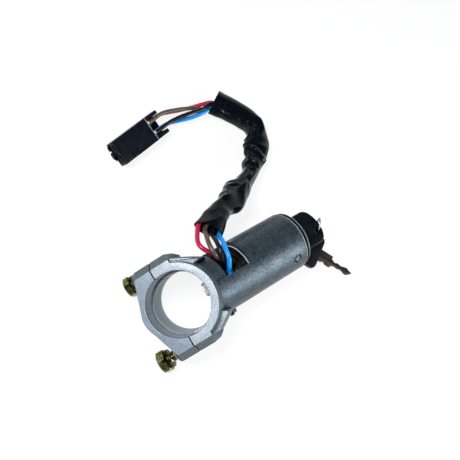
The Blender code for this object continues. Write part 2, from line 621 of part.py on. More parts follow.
def build_small_fixings(parts, mats):
    """Build the housing screw and the pin in the small lug."""
    r = TUBE_RADIUS
    screw = shaft("housing_screw", [(12 * MM, SCREW_SHANK_RADIUS), (r - 2.2 * MM, SCREW_SHANK_RADIUS),
                                    (r - 0.8 * MM, SCREW_HEAD_RADIUS), (r - 0.3 * MM, SCREW_HEAD_RADIUS)], 24,
                  mats["steel"])
    slots = []
    for index in range(2):
        long_side = 2.1 * MM
        short_side = 0.45 * MM
        half = (long_side, short_side) if index == 0 else (short_side, long_side)
        slots.append(box("recess_%d_cutter" % index, (r - 1.5 * MM, -half[0], -half[1]), (r + MM, half[0], half[1])))
    for slot in slots:
        place(slot, screw_matrix())
    combine(place(screw, screw_matrix()), slots, "DIFFERENCE")
    parts["housing_screw"] = screw
    parts["lug_pin"] = lug_solid("lug_pin", PIN_RADIUS, TUBE_RADIUS - 1.3 * MM, LUG_REACH + 0.9 * MM,
                                 mats["steel"])


def smooth_path(points, count):
    """Sample a Catmull-Rom curve through the points at even parameter steps."""
    rows = [Vector(p) for p in points]
    rows = [rows[0] * 2.0 - rows[1], *rows, rows[-1] * 2.0 - rows[-2]]
    spans = len(rows) - 3
    result = []
    for step in range(count):
        place_at = spans * step / (count - 1)
        span = min(int(place_at), spans - 1)
        t = place_at - span
        a, b, c, d = rows[span:span + 4]
        result.append(0.5 * ((2 * b) + (c - a) * t + (2 * a - 5 * b + 4 * c - d) * t ** 2
                             + (3 * b - a - 3 * c + d) * t ** 3))
    return result


def even_path(points, count):
    """Pick points at even distances along a dense path."""
    lengths = [0.0]
    for a, b in zip(points, points[1:]):
        lengths.append(lengths[-1] + (b - a).length)
    result = []
    index = 0
    for step in range(count):
        target = lengths[-1] * step / (count - 1)
        while index < len(points) - 2 and lengths[index + 1] < target:
            index += 1
        span = max(lengths[index + 1] - lengths[index], 1e-12)
        result.append(points[index].lerp(points[index + 1], min(1.0, (target - lengths[index]) / span)))
    return result


def rest_matrix():
    """Return the matrix from the lock frame to the table."""
    turn = Matrix.Rotation(REST_PITCH, 4, "Y") @ Matrix.Rotation(REST_ROLL, 4, "X")
    return Matrix.Translation((-CENTRE_X, -CENTRE_Y, REST_LIFT)) @ turn


def on_table(point):
    """Turn table millimetres into centred metres."""
    return Vector((point[0] * MM - CENTRE_X, point[1] * MM - CENTRE_Y, point[2] * MM))


def side_of(path, index):
    """Return the level sideways direction of a path at one point."""
    ahead = path[min(index + 1, len(path) - 1)] - path[max(index - 1, 0)]
    return Vector((-ahead.y, ahead.x, 0.0)).normalized()


def sleeve_path():
    """Return the sampled centreline of the sleeve with its half sizes, in millimetres."""
    centre = smooth_path([row[:3] for row in SLEEVE_ROUTE], SLEEVE_STEPS)
    sizes = smooth_path([(row[3], row[4], 0.0) for row in SLEEVE_ROUTE], SLEEVE_STEPS)
    return centre, sizes


def build_sleeve(mat):
    """Build the vinyl sleeve as one hollow swept tube."""
    centre, sizes = sleeve_path()
    segments = 16
    sections = []
    for inner in (False, True):
        order = range(len(centre)) if not inner else range(len(centre) - 1, -1, -1)
        for index in order:
            side = side_of(centre, index)
            ahead = (centre[min(index + 1, len(centre) - 1)] - centre[max(index - 1, 0)]).normalized()
            rise = ahead.cross(side) * -1.0
            wall = SLEEVE_WALL if inner else 0.0
            ring = []
            for step in range(segments):
                angle = 2.0 * math.pi * step / segments
                offset = side * (math.cos(angle) * (sizes[index].x - wall))
                offset += rise * (math.sin(angle) * (sizes[index].y - wall))
                ring.append(on_table(centre[index] + offset))
            sections.append(ring)
    return loft("harness_sleeve", sections, mat, 60.0, closed=True)


def cavity_centre(colour):
    """Return the sideways and upward place of the cavity of one wire."""
    column, row = CAVITY_OF[colour]
    return column * CAVITY_PITCH_Y / 2.0, CAVITY_MIDDLE_Z + row * CAVITY_PITCH_Z / 2.0


def wire_points(colour):
    """Return the whole way of one wire in centred metres."""
    to_table = rest_matrix()
    first = LEAD_IN[colour][0]
    straight = (first[0] - 1.5, first[1], first[2])
    inside = [to_table @ (Vector(p) * MM) for p in (first, straight, *LEAD_IN[colour][1:])]
    centre, _ = sleeve_path()
    rank = WIRES.index(colour)
    middle = []
    last = len(centre) - 1
    picks = list(range(0, last + 1, 3))
    for index in picks:
        share = index / last
        side = side_of(centre, index)
        spread = max(0.0, 1.0 - share / 0.22)
        flat = (1.5 - rank) * MOUTH_PITCH
        turn = math.radians(-135.0) * min(1.0, max(0.0, (share - 0.2) / 0.6))
        corner = math.radians((315.0, 45.0, 225.0, 135.0)[rank]) + turn
        across = math.cos(corner) * BUNDLE_OFFSET
        height = math.sin(corner) * BUNDLE_OFFSET
        across = across * (1.0 - spread) + flat * spread + INNER_SHIFT * max(0.0, share - 0.8) / 0.2
        height = height * math.sqrt(1.0 - spread)
        shift = side * across + Vector((0.0, 0.0, height))
        if index == 0:
            middle.append(on_table(centre[0] + (centre[0] - centre[1]).normalized() * MOUTH_RUN + shift))
        middle.append(on_table(centre[index] + shift))
    outside = [on_table(p) for p in LEAD_OUT[colour]]
    y, z = cavity_centre(colour)
    matrix = connector_matrix()
    outside += [matrix @ Vector((s, y, z)) for s in (-4.0, CONTACT_START - 0.3)]
    return even_path(smooth_path(inside + middle + outside, 500), WIRE_POINT_COUNT)


def build_wire(colour, mat):
    """Build one wire as a bevelled poly curve."""
    curve = bpy.data.curves.new("wire_" + colour, "CURVE")
    curve.dimensions = "3D"
    curve.bevel_depth = WIRE_RADIUS
    curve.bevel_resolution = 2
    curve.use_fill_caps = True
    spline = curve.splines.new("POLY")
    points = wire_points(colour)
    spline.points.add(len(points) - 1)
    for target, point in zip(spline.points, points):
        target.co = (*point, 1.0)
    curve.materials.append(mat)
    obj = bpy.data.objects.new("wire_" + colour, curve)
    bpy.context.scene.collection.objects.link(obj)
    return obj


def connector_matrix():
    """Return the matrix from connector millimetres (s, across, up) to the table."""
    start = Vector(CONNECTOR_START)
    ahead = (Vector(CONNECTOR_END) - start).normalized()
    turn = Matrix(((ahead.x, -ahead.y, 0.0, 0.0), (ahead.y, ahead.x, 0.0, 0.0), (0.0, 0.0, 1.0, 0.0),
                   (0.0, 0.0, 0.0, 1.0)))
    lift = CONNECTOR_WIDTH / 2.0 * math.sin(abs(CONNECTOR_ROLL)) + 0.1
    origin = on_table((start.x, start.y, lift))
    roll = Matrix.Rotation(CONNECTOR_ROLL, 4, "X")
    return Matrix.Translation(origin) @ turn @ roll @ Matrix.Scale(MM, 4)


def build_connector(mats):
    """Build the connector housing and the four contacts in it."""
    length = (Vector(CONNECTOR_END) - Vector(CONNECTOR_START)).length
    half = CONNECTOR_WIDTH / 2.0
    top = CONNECTOR_HEIGHT
    low_top = top - CONNECTOR_STEP_DROP
    profile = [(0.0, 0.0), (length, 0.0), (length, low_top), (CONNECTOR_STEP, low_top), (CONNECTOR_STEP, top),
               (CONNECTOR_WING, top), (CONNECTOR_WING, top - 1.5), (0.0, top - 1.5)]
    housing = loft("connector_housing", [[(x, y, z) for x, z in profile] for y in (-half, half)],
                   mats["black_plastic"])
    lugs = []
    for index, lug in enumerate(GUIDE_LUGS):
        outline = [(length + x, y) for x, y in lug]
        lugs.append(prism("guide_lug_%d_helper" % index, outline, 0.2, 3.6))
    combine(housing, lugs, "UNION")
    mouth = half - CONNECTOR_WING_WIDTH
    cutters = [box("mouth_cutter", (-2.0, -mouth, 0.6), (CONNECTOR_WING + 0.4, mouth, top + 2.0))]
    for name in WIRES:
        y, z = cavity_centre(name)
        cutters.append(box("cavity_%s_cutter" % name,
                           (CONTACT_START - 1.0, y - CAVITY_WIDTH / 2.0, z - CAVITY_HEIGHT / 2.0),
                           (length + 4.0, y + CAVITY_WIDTH / 2.0, z + CAVITY_HEIGHT / 2.0)))
    combine(housing, cutters, "DIFFERENCE")
    matrix = connector_matrix()
    for obj in [housing, *lugs, *cutters]:
        place(obj, matrix)
    wide = CAVITY_WIDTH / 2.0 - CONTACT_FIT
    high = CAVITY_HEIGHT / 2.0 - CONTACT_FIT / 2.0
    for name in WIRES:
        y, z = cavity_centre(name)
        contact = box("contact_" + name, (CONTACT_START, y - wide, z - high), (length - 9.0, y + wide, z + high),
                      mats["brass"])
        hollow = box("contact_%s_cutter" % name, (CONNECTOR_WING + 3.0, y - wide + 0.6, z - high + 0.6),
                     (length, y + wide - 0.6, z + high - 0.6))
        combine(contact, [hollow], "DIFFERENCE")
        for obj in (contact, hollow):
            place(obj, matrix)


def head_outline():
    """Return the outline of a key head: square at the blade, rounded at the far end."""
    half = HEAD_WIDTH / 2.0
    far = HEAD_LENGTH
    points = [(0.0, -half + 3.0 * MM), (0.9 * MM, -half + 0.9 * MM), (3.0 * MM, -half)]
    points += [(far - 5.6 * MM, -half), (far - 4.0 * MM, -half + 0.7 * MM), (far - 2.4 * MM, -half + 2.2 * MM),
               (far - 1.3 * MM, -half + 4.2 * MM), (far - 0.5 * MM, -half + 6.4 * MM), (far - 0.1 * MM, -half + 9.0 * MM)]
    points += [(far, half - 14.0 * MM), (far - 0.5 * MM, half - 11.0 * MM), (far - 1.4 * MM, half - 7.8 * MM),
               (far - 2.7 * MM, half - 4.7 * MM), (far - 4.4 * MM, half - 2.2 * MM), (far - 6.6 * MM, half - 0.6 * MM),
               (far - 9.0 * MM, half)]
    points += [(3.0 * MM, half), (0.9 * MM, half - 0.9 * MM), (0.0, half - 3.0 * MM)]
    return points


def build_key(prefix, matrix, mats):
    """Build one key in a frame whose X runs from the blade tip to the head."""
    half = HEAD_THICKNESS / 2.0
    outline = head_outline()
    middle_x = HEAD_LENGTH / 2.0
    sections = []
    for z, scale in ((-half, 0.93), (-half + 1.1 * MM, 1.0), (half - 1.1 * MM, 1.0), (half, 0.93)):
        sections.append([(middle_x + (x - middle_x) * scale, y * scale, z) for x, y in outline])
    head = loft(prefix + "_head", sections, mats["key_plastic"], 40.0)
    hole = []
    for step in range(24):
        angle = 2.0 * math.pi * step / 24
        hole.append((KEY_HOLE_X + KEY_HOLE_RADIUS * math.cos(angle), KEY_HOLE_Y + KEY_HOLE_RADIUS * math.sin(angle)))
    cutters = [prism(prefix + "_hole_cutter", hole, -10 * MM, 10 * MM),
               box(prefix + "_tang_cutter", (-5 * MM, -BLADE_WIDTH / 2.0 - FIT, -BLADE_THICKNESS / 2.0 - FIT),
                   (10 * MM, BLADE_WIDTH / 2.0 + FIT, BLADE_THICKNESS / 2.0 + FIT))]
    combine(head, cutters, "DIFFERENCE")
    half_width = BLADE_WIDTH / 2.0
    upper = [(x * MM, share * half_width) for x, share in UPPER_CUTS]
    lower = [(x * MM, -share * half_width) for x, share in reversed(LOWER_CUTS)]
    tip = [(-BLADE_REACH, -0.1 * half_width)]
    blade = prism(prefix + "_blade", upper + tip + lower, -BLADE_THICKNESS / 2.0, BLADE_THICKNESS / 2.0,
                  mats["key_steel"])
    for obj in [head, blade, *cutters]:
        place(obj, matrix)
    return head, blade


def spare_matrix():
    """Return the matrix that lays the spare key on the table."""
    origin = on_table(SPARE_POSITION)
    turn = Matrix.Rotation(SPARE_HEADING, 4, "Z") @ Matrix.Rotation(SPARE_PITCH, 4, "Y")
    return Matrix.Translation(origin) @ turn


def ring_points():
    """Return the closed way of the wire loop in centred metres."""
    key_offset = Matrix.Translation((PLUG_FACE_X + HEAD_GAP, 0.0, 0.0))
    hole = Matrix.Translation((KEY_HOLE_X, KEY_HOLE_Y, 0.0))
    first = rest_matrix() @ key_offset @ hole
    spare = spare_matrix() @ hole
    knots = [first @ (Vector(p) * MM) for p in RING_AT_FIRST]
    knots += [spare @ (Vector(p) * MM) for p in RING_AT_SPARE]
    wrapped = [*knots[-3:], *knots, *knots[:3]]
    dense = smooth_path(wrapped, 100 * (len(wrapped) - 1) + 1)
    return even_path(dense[300:300 + 100 * len(knots) + 1], RING_STEPS + 1)[:-1]


def build_ring(mat):
    """Build the bent wire loop through the heads of both keys."""
    path = ring_points()
    count = len(path)
    tangents = [(path[(i + 1) % count] - path[i - 1]).normalized() for i in range(count)]
    across = [tangents[0].orthogonal().normalized()]
    for index in range(1, count + 1):
        turn = tangents[index - 1].rotation_difference(tangents[index % count])
        across.append((turn @ across[-1]).normalized())
    other = tangents[0].cross(across[0])
    twist = math.atan2(across[-1].dot(other), across[-1].dot(across[0]))
    sections = []
    for index, point in enumerate(path):
        side = Matrix.Rotation(-twist * index / count, 3, tangents[index]) @ across[index]
        rise = tangents[index].cross(side)
        ring = []
        for part in range(8):
            angle = 2.0 * math.pi * part / 8
            ring.append(point + side * (RING_WIRE * math.cos(angle)) + rise * (RING_WIRE * math.sin(angle)))
        sections.append(ring)
    return loft("key_ring", sections, mat, 60.0, closed=True)


def make_materials():
    """Return the materials of the part by short name."""
    return {
        "casting": make_material("casting_paint", (0.16, 0.2, 0.23), 0.55, 0.45),
        "cap": make_material("cap_casting", (0.35, 0.41, 0.46), 0.5, 0.5),
        "dark_zinc": make_material("dark_zinc", (0.06, 0.07, 0.08), 0.8, 0.4),
        "chrome": make_material("plug_chrome", (0.7, 0.7, 0.7), 1.0, 0.2),
        "steel": make_material("plain_steel", (0.4, 0.4, 0.4), 1.0, 0.35),
        "zinc": make_material("yellow_zinc", (0.35, 0.36, 0.12), 0.9, 0.35),
        "brass": make_material("brass", (0.7, 0.5, 0.2), 1.0, 0.3),
        "black_plastic": make_material("black_plastic", (0.02, 0.02, 0.025), 0.0, 0.4),
        "brown_plastic": make_material("brown_plastic", (0.16, 0.07, 0.03), 0.0, 0.5),
        "key_plastic": make_material("key_plastic", (0.012, 0.016, 0.025), 0.0, 0.35),
        "key_steel": make_material("key_steel", (0.12, 0.1, 0.09), 0.9, 0.4),
        "vinyl": make_material("black_vinyl", (0.012, 0.014, 0.018), 0.0, 0.25),
        "red": make_material("wire_red", (0.63, 0.01, 0.1), 0.0, 0.4),
        "brown": make_material("wire_brown", (0.15, 0.1, 0.08), 0.0, 0.4),
        "black": make_material("wire_black", (0.01, 0.01, 0.012), 0.0, 0.4),
        "blue": make_material("wire_blue", (0.0, 0.33, 0.9), 0.0, 0.4),
    }


def main():
    """Build every piece and turn the lock to its resting attitude."""
    clear_scene()
    mats = make_materials()
    parts = {"lock_housing": build_housing(mats["casting"]), "clamp_cap": build_cap(mats["cap"])}
    build_clamp_fixings(parts, mats)
    parts["lock_tongue"] = build_tongue(mats["steel"])
    parts["tongue_spring"] = build_tongue_spring(mats["steel"])
    build_lock_cylinder(parts, mats)
    build_switch(parts, mats)
    build_small_fixings(parts, mats)
    key_matrix = Matrix.Translation((PLUG_FACE_X + HEAD_GAP, 0.0, 0.0))
    parts["key_head"], parts["key_blade"] = build_key("key", key_matrix, mats)

    rest = bpy.data.objects.new("rest_frame", None)
    bpy.context.scene.collection.objects.link(rest)
    rest.matrix_world = rest_matrix()
    for obj in list(bpy.context.scene.objects):
        if obj is not rest:
            obj.parent = rest

    build_key("spare_key", spare_matrix(), mats)
    build_ring(mats["steel"])
    build_sleeve(mats["vinyl"])
    for colour in WIRES:
        build_wire(colour, mats[colour])
    build_connector(mats)


main()
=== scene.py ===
"""Visual model of a steering column ignition lock with its clamp, keys and wire harness."""
import logging
import math
from contextlib import contextmanager
from dataclasses import dataclass
from enum import Enum
from typing import Callable, Iterable, Iterator, Sequence

import bmesh
import bpy
from mathutils import Matrix, Vector, noise


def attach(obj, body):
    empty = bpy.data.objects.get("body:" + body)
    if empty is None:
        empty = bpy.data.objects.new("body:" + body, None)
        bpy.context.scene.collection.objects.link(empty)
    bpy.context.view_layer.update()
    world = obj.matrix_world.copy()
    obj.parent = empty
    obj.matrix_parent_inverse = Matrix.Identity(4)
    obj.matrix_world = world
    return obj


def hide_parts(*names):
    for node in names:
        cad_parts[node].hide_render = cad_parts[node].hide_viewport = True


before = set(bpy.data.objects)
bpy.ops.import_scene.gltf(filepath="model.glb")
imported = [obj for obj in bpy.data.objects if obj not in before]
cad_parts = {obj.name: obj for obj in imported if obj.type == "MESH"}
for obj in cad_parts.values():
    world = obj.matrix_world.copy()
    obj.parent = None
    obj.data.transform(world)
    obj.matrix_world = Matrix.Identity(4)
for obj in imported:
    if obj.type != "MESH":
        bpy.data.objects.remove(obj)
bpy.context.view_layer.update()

log = logging.getLogger("ignition_lock")
MM = 0.001
Point = tuple[float, float, float]
Points = Sequence[Sequence[float]]
Pairs = Sequence[tuple[float, float]]
Mesh = bpy.types.Mesh
Piece = bpy.types.Object
Material = bpy.types.Material
Tree = bpy.types.NodeTree
Socket = bpy.types.NodeSocket
# Ends of the clamp, with the sign of v
SIDES = (("upper", 1.0), ("lower", -1.0))
# Turns of a lathed or instanced shape
X_TO_Z = Matrix.Rotation(-math.pi / 2.0, 4, "Y")
Z_TO_X = Matrix.Rotation(math.pi / 2.0, 4, "Y")

# Resting attitude of the lock, as in the CAD model
REST_PITCH = math.radians(4.6)
REST_ROLL = math.radians(4.95)
REST_LIFT = 27.67
CENTRE_X = 56.425
CENTRE_Y = -4.46
CLAMP_LEAN = math.radians(38.0)
CLAMP_OFFSET = 12.2


class Body(str, Enum):
    """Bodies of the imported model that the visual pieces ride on."""

    LOCK = "lock"
    TONGUE = "tongue"
    KEY = "key"
    RING = "ring"
    SPARE_KEY = "spare_key"


# Frames


def lock_frame() -> Matrix:
    """Return the matrix from the lock's own millimetres to row metres."""
    turn = Matrix.Rotation(REST_PITCH, 4, "Y") @ Matrix.Rotation(REST_ROLL, 4, "X")
    shift = Matrix.Translation((-CENTRE_X * MM, -CENTRE_Y * MM, REST_LIFT * MM))
    return shift @ turn @ Matrix.Scale(MM, 4)


def clamp_frame() -> Matrix:
    """Return the matrix from the clamp's (u, v, n) millimetres to row metres."""
    c, s = math.cos(CLAMP_LEAN), math.sin(CLAMP_LEAN)
    lean = Matrix(((c, 0.0, -s, 0.0), (0.0, 1.0, 0.0, 0.0), (s, 0.0, c, CLAMP_OFFSET), (0.0, 0.0, 0.0, 1.0)))
    return lock_frame() @ lean


def on_table(point: Point) -> Vector:
    """Return table millimetres as row metres."""
    return Vector(((point[0] - CENTRE_X) * MM, (point[1] - CENTRE_Y) * MM, point[2] * MM))


# Material nodes


def linear(code: str) -> tuple[float, float, float, float]:
    """Turn an sRGB hex code into a linear colour."""
    out = []
    for start in (1, 3, 5):
        c = int(code[start:start + 2], 16) / 255.0
        out.append(c / 12.92 if c <= 0.04045 else ((c + 0.055) / 1.055) ** 2.4)
    return (*out, 1.0)


def fill(node: bpy.types.Node, inputs: dict) -> None:
    """Set or link inputs of a node, by name or index to a value or to an output socket."""
    for key, value in inputs.items():
        if isinstance(value, Socket):
            node.id_data.links.new(value, node.inputs[key])
        else:
            node.inputs[key].default_value = value


def add_node(tree: Tree, kind: str, inputs: dict | None = None, **settings) -> bpy.types.Node:
    """Add a node, set its options and set or link its inputs.

    Args:
        tree: Node tree to add to.
        kind: Blender's node type name.
        inputs: Inputs as for fill().
        settings: Attributes of the node.

    Returns:
        The new node.
    """
    node = tree.nodes.new(kind)
    for key, value in settings.items():
        setattr(node, key, value)
    fill(node, inputs or {})
    return node


def grain(tree: Tree, size_mm: float, detail: float, stretch: Point = (1.0, 1.0, 1.0)) -> Socket:
    """Return a noise value whose spots are about size_mm across."""
    coords = add_node(tree, "ShaderNodeTexCoord")
    mapping = add_node(tree, "ShaderNodeMapping", {"Vector": coords.outputs["Object"], "Scale": stretch})
    texture = add_node(tree, "ShaderNodeTexNoise", {"Vector": mapping.outputs[0], "Scale": 1.0 / (size_mm * MM),
                                                    "Detail": detail, "Roughness": 0.5})
    return texture.outputs["Fac"]


def ramp(tree: Tree, value: Socket, low: float, high: float, out_low: float = 0.0, out_high: float = 1.0) -> Socket:
    """Map a range of a value to another range, clamped."""
    node = add_node(tree, "ShaderNodeMapRange", {"Value": value, "From Min": low, "From Max": high,
                                                 "To Min": out_low, "To Max": out_high})
    return node.outputs[0]


def mix(tree: Tree, share: Socket | float, first, second, blend: str = "MIX") -> Socket:
    """Mix two colours, each a socket or an RGBA value."""
    return add_node(tree, "ShaderNodeMix", {"Factor": share, 6: first, 7: second}, data_type="RGBA",
                    blend_type=blend).outputs[2]


@dataclass(frozen=True)
class Finish:
    """A surface finish: two tones in fine grain, edge wear and a little relief."""

    name: str
    dark: str
    light: str
    metallic: float = 0.0
    roughness: float = 0.4
    spread: float = 0.08
    grain_mm: float = 0.5
    patch_mm: float = 9.0
    relief_mm: float = 0.02
    worn: str | None = None
    wear_from: float = 0.56
    stretch: Point = (1.0, 1.0, 1.0)
    specular: float = 0.5

    def build(self) -> Material:
        """Build the Principled material of the finish.

        Returns:
            The new material.
        """
        mat = bpy.data.materials.new(self.name)
        mat.use_nodes = True
        tree = mat.node_tree
        shader = tree.nodes["Principled BSDF"]
        fine = grain(tree, self.grain_mm, 3.0, self.stretch)
        patches = grain(tree, self.patch_mm, 2.0)
        share = ramp(tree, fine, 0.36, 0.64)
        colour = mix(tree, share, linear(self.dark), linear(self.light))
        shade = ramp(tree, patches, 0.3, 0.7, 0.86, 1.0)
        tone = add_node(tree, "ShaderNodeCombineColor", {0: shade, 1: shade, 2: shade})
        toned = mix(tree, 1.0, colour, tone.outputs[0], "MULTIPLY")
        if self.worn:
            geometry = add_node(tree, "ShaderNodeNewGeometry")
            edge = ramp(tree, geometry.outputs["Pointiness"], self.wear_from - 0.03, self.wear_from + 0.05)
            broken = add_node(tree, "ShaderNodeMath", {0: edge, 1: ramp(tree, fine, 0.4, 0.6, 0.35, 1.0)},
                              operation="MULTIPLY").outputs[0]
            toned = mix(tree, broken, toned, linear(self.worn))
        gloss = ramp(tree, patches, 0.3, 0.7, self.roughness - self.spread, self.roughness + self.spread)
        bump = add_node(tree, "ShaderNodeBump", {"Strength": 0.6, "Distance": self.relief_mm * MM, "Height": fine})
        fill(shader, {"Base Color": toned, "Roughness": gloss, "Metallic": self.metallic,
                      "Specular IOR Level": self.specular, "Normal": bump.outputs[0]})
        return mat


# Die casting under dark blue grey metallic lacquer, kept darker than the clamp's face of the same casting partly as
# painted shade: fine sparkle, a little paler on its edges
BARREL_LACQUER_SHADED = Finish("barrel_lacquer_painted_shade", "#2c3740", "#505e68", 0.62, 0.41, 0.08, 0.6, 7.0, 0.03,
                        worn="#9aa7b2", wear_from=0.6, stretch=(0.35, 1.0, 1.0))
# Machined and blasted casting face: pale, speckled, matte; its paleness is partly painted light on the face that looks
# towards the lamps
BLASTED_FACE_PAINTED_LIGHT = Finish("blasted_casting_painted_light", "#8b98a4", "#c2ccd5", 0.25, 0.52, 0.06, 0.55, 11.0, 0.03)
# The same on the loose cap, from a duller cast; its paleness is partly painted light too
BLASTED_CAP_PAINTED_LIGHT = Finish("blasted_cap_painted_light", "#6f7c8c", "#98a5b4", 0.25, 0.52, 0.06, 0.55, 11.0, 0.03)
# Painted shade: the clamp's flanks and rear, a darker and greener shaded copy of its face
FLANK_PAINTED_SHADE = Finish("flank_painted_shade", "#3b4a4f", "#586a70", 0.4, 0.5, 0.06, 0.5, 9.0, 0.04)
# Painted shade: the rounded edges round the clamp's faces, dark as a shaded outline
EDGE_SHADE = Finish("casting_edge_painted_shade", "#1c262c", "#2f3b42", 0.3, 0.55, 0.06, 0.5, 9.0, 0.02)
# Bored lands of the clamp: finely turned, mid grey
BORED_LAND = Finish("bored_casting", "#5b6d77", "#7f929d", 0.4, 0.42, 0.05, 0.35, 8.0, 0.02)
# Bright bare metal, finely lined, on the casting's machined edges; on edges and faces that catch the light it is also a
# painted highlight
BARE_METAL_AND_HIGHLIGHT = Finish("bare_metal_and_painted_highlight", "#c2cdd4", "#eef4f7", 0.3, 0.3, 0.05, 0.3, 6.0, 0.005)
# Dark oiled die casting of the lock insert
DARK_CASTING = Finish("dark_oiled_casting", "#1b2127", "#2a3138", 0.6, 0.36, 0.08, 0.4, 7.0, 0.02)
# Bright nickel plating on the lock plug
BRIGHT_NICKEL = Finish("bright_nickel", "#a7adb2", "#c5cacd", 1.0, 0.2, 0.05, 0.3, 4.0, 0.005)
# Plain turned steel
PLAIN_STEEL = Finish("plain_steel", "#6f757a", "#9aa0a5", 1.0, 0.3, 0.08, 0.3, 5.0, 0.01)
# Yellow passivated zinc plating on the clamp bolts, patchy green to brown
YELLOW_ZINC = Finish("yellow_passivated_zinc", "#37351a", "#94935a", 1.0, 0.22, 0.06, 2.6, 5.0, 0.006,
                     worn="#d9ddb0", wear_from=0.6)
# The same plating on the spring washers, oiled and darker
DARK_ZINC = Finish("oiled_yellow_zinc", "#211f12", "#4d4a2a", 1.0, 0.28, 0.06, 1.2, 3.0, 0.006)
# Stamped brass strip
STAMPED_BRASS = Finish("stamped_brass", "#2c1f13", "#4d3924", 0.4, 0.45, 0.06, 0.4, 3.0, 0.01)
# Bare steel wire of the loop, in dark and bright patches at random
LOOP_STEEL = Finish("drawn_steel_wire", "#5d6266", "#c9ced2", 1.0, 0.24, 0.08, 2.2, 4.0, 0.01)
# Glass filled nylon of the connector: nearly black navy with a dull sheen
CONNECTOR_NYLON = Finish("black_nylon", "#080d15", "#0d151f", 0.0, 0.4, 0.08, 0.5, 6.0, 0.015,
                         worn="#1b2837", wear_from=0.62, specular=0.14)
# The same nylon painted pale on a thin rim, as the painted highlight of the edge above the mouth
NYLON_PAINTED_HIGHLIGHT = Finish("nylon_rim_painted_highlight", "#5d7488", "#8fa6b8", 0.0, 0.3, 0.05, 0.4, 5.0, 0.005)
# Tinned crimp barrels, dull cream
TINNED_CRIMP = Finish("tinned_crimp", "#b8ab85", "#e0d8b8", 0.15, 0.4, 0.06, 0.5, 2.0, 0.01)
# Moulded black plastic with a fine eroded texture
BLACK_PLASTIC = Finish("moulded_black_plastic", "#07090c", "#0e1216", 0.0, 0.38, 0.06, 0.25, 6.0, 0.01,
                       specular=0.3)
# Brown phenolic moulding of the contact drum
BROWN_PLASTIC = Finish("brown_phenolic", "#3a2013", "#54301e", 0.0, 0.45, 0.06, 0.3, 4.0, 0.01)
# Smooth dark plastic of the key heads, a little handled
KEY_PLASTIC = Finish("key_head_plastic", "#060a11", "#0b121b", 0.0, 0.36, 0.08, 0.4, 5.0, 0.01,
                     worn="#18222c", wear_from=0.63, specular=0.14)
# Steel of the key blades, painted dark brown as painted shade: the blades look dark in shade and from dark reflections
KEY_STEEL_PAINTED_SHADE = Finish("key_steel_painted_shade", "#1d1613", "#332925", 0.35, 0.42, 0.08, 0.4, 3.0, 0.01)
# Plasticised vinyl sleeve: glossy, nearly black with a blue cast
VINYL = Finish("black_vinyl_sleeve", "#04070d", "#090f18", 0.0, 0.15, 0.03, 3.0, 9.0, 0.006, specular=0.17)
# Extruded PVC insulation of the wires
RED_PVC = Finish("red_pvc", "#b00c44", "#bf1450", 0.0, 0.3, 0.04, 0.5, 12.0, 0.004)
BROWN_PVC = Finish("brown_pvc", "#4d3f37", "#5a4b42", 0.0, 0.3, 0.04, 0.5, 12.0, 0.004)
BLACK_PVC = Finish("black_pvc", "#070a10", "#0e131b", 0.0, 0.32, 0.04, 0.5, 12.0, 0.004, specular=0.4)
BLUE_PVC = Finish("blue_pvc", "#0083dc", "#0b92ea", 0.0, 0.3, 0.04, 0.5, 12.0, 0.004)

# Finish of each CAD node, where it shows or stands behind a visual piece
NODE_FINISHES = (
    (BARREL_LACQUER_SHADED, "lock_housing"),
    (BLASTED_FACE_PAINTED_LIGHT, "clamp_cap"),
    (YELLOW_ZINC, "clamp_bolt_upper clamp_bolt_lower"),
    (PLAIN_STEEL, "spring_washer_upper spring_washer_lower lock_tongue tongue_spring lock_cam housing_screw lug_pin "
                  "key_ring"),
    (DARK_CASTING, "lock_sleeve"),
    (BRIGHT_NICKEL, "lock_plug"),
    (STAMPED_BRASS, "wafer_1 wafer_2 wafer_3 wafer_4 wafer_5 contact_bridge terminal_red terminal_brown "
                    "terminal_black terminal_blue contact_red contact_brown contact_black contact_blue"),
    (BLACK_PLASTIC, "switch_body connector_housing"),
    (BROWN_PLASTIC, "switch_drum"),
    (KEY_PLASTIC, "key_head spare_key_head"),
    (KEY_STEEL_PAINTED_SHADE, "key_blade spare_key_blade"),
    (VINYL, "harness_sleeve"),
    (RED_PVC, "wire_red"), (BROWN_PVC, "wire_brown"), (BLACK_PVC, "wire_black"), (BLUE_PVC, "wire_blue"),
)


class Finishes:
    """Builds each finish once and hands out its material."""

    def __init__(self) -> None:
        """Start with no materials."""
        self._made: dict[str, Material] = {}

    def of(self, finish: Finish) -> Material:
        """Return the material of a finish."""
        if finish.name not in self._made:
            self._made[finish.name] = finish.build()
        return self._made[finish.name]

    def dress_cad(self) -> None:
        """Give every CAD node its finish."""
        for finish, names in NODE_FINISHES:
            for name in names.split():
                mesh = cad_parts[name].data
                mesh.materials.clear()
                mesh.materials.append(self.of(finish))


# Mesh helpers

# Share of a rounded edge's radius taken inwards and along, at each step of the edge
EDGE_STEPS = ((1.0, 0.0), (0.5, 0.12), (0.16, 0.42))
MITER_LIMIT = 0.35
# Points of a CAD mesh closer than this are one (metres), and faces within this angle are one face
MERGE_DISTANCE = 3e-6
FLAT_DEG = 0.8
# Edges of a CAD mesh over this angle are rounded
ROUNDED_DEG = 30.0


def link(name: str, data: bpy.types.ID) -> Piece:
    """Add an object with its data to the scene."""
    obj = bpy.data.objects.new(name, data)
    bpy.context.scene.collection.objects.link(obj)
    return obj


@contextmanager
def edited(source: Mesh, result: Mesh | None = None) -> Iterator[bmesh.types.BMesh]:
    """Open a mesh for editing, and write it back or to another mesh."""
    bm = bmesh.new()
    bm.from_mesh(source)
    yield bm
    bm.to_mesh(result or source)
    bm.free()


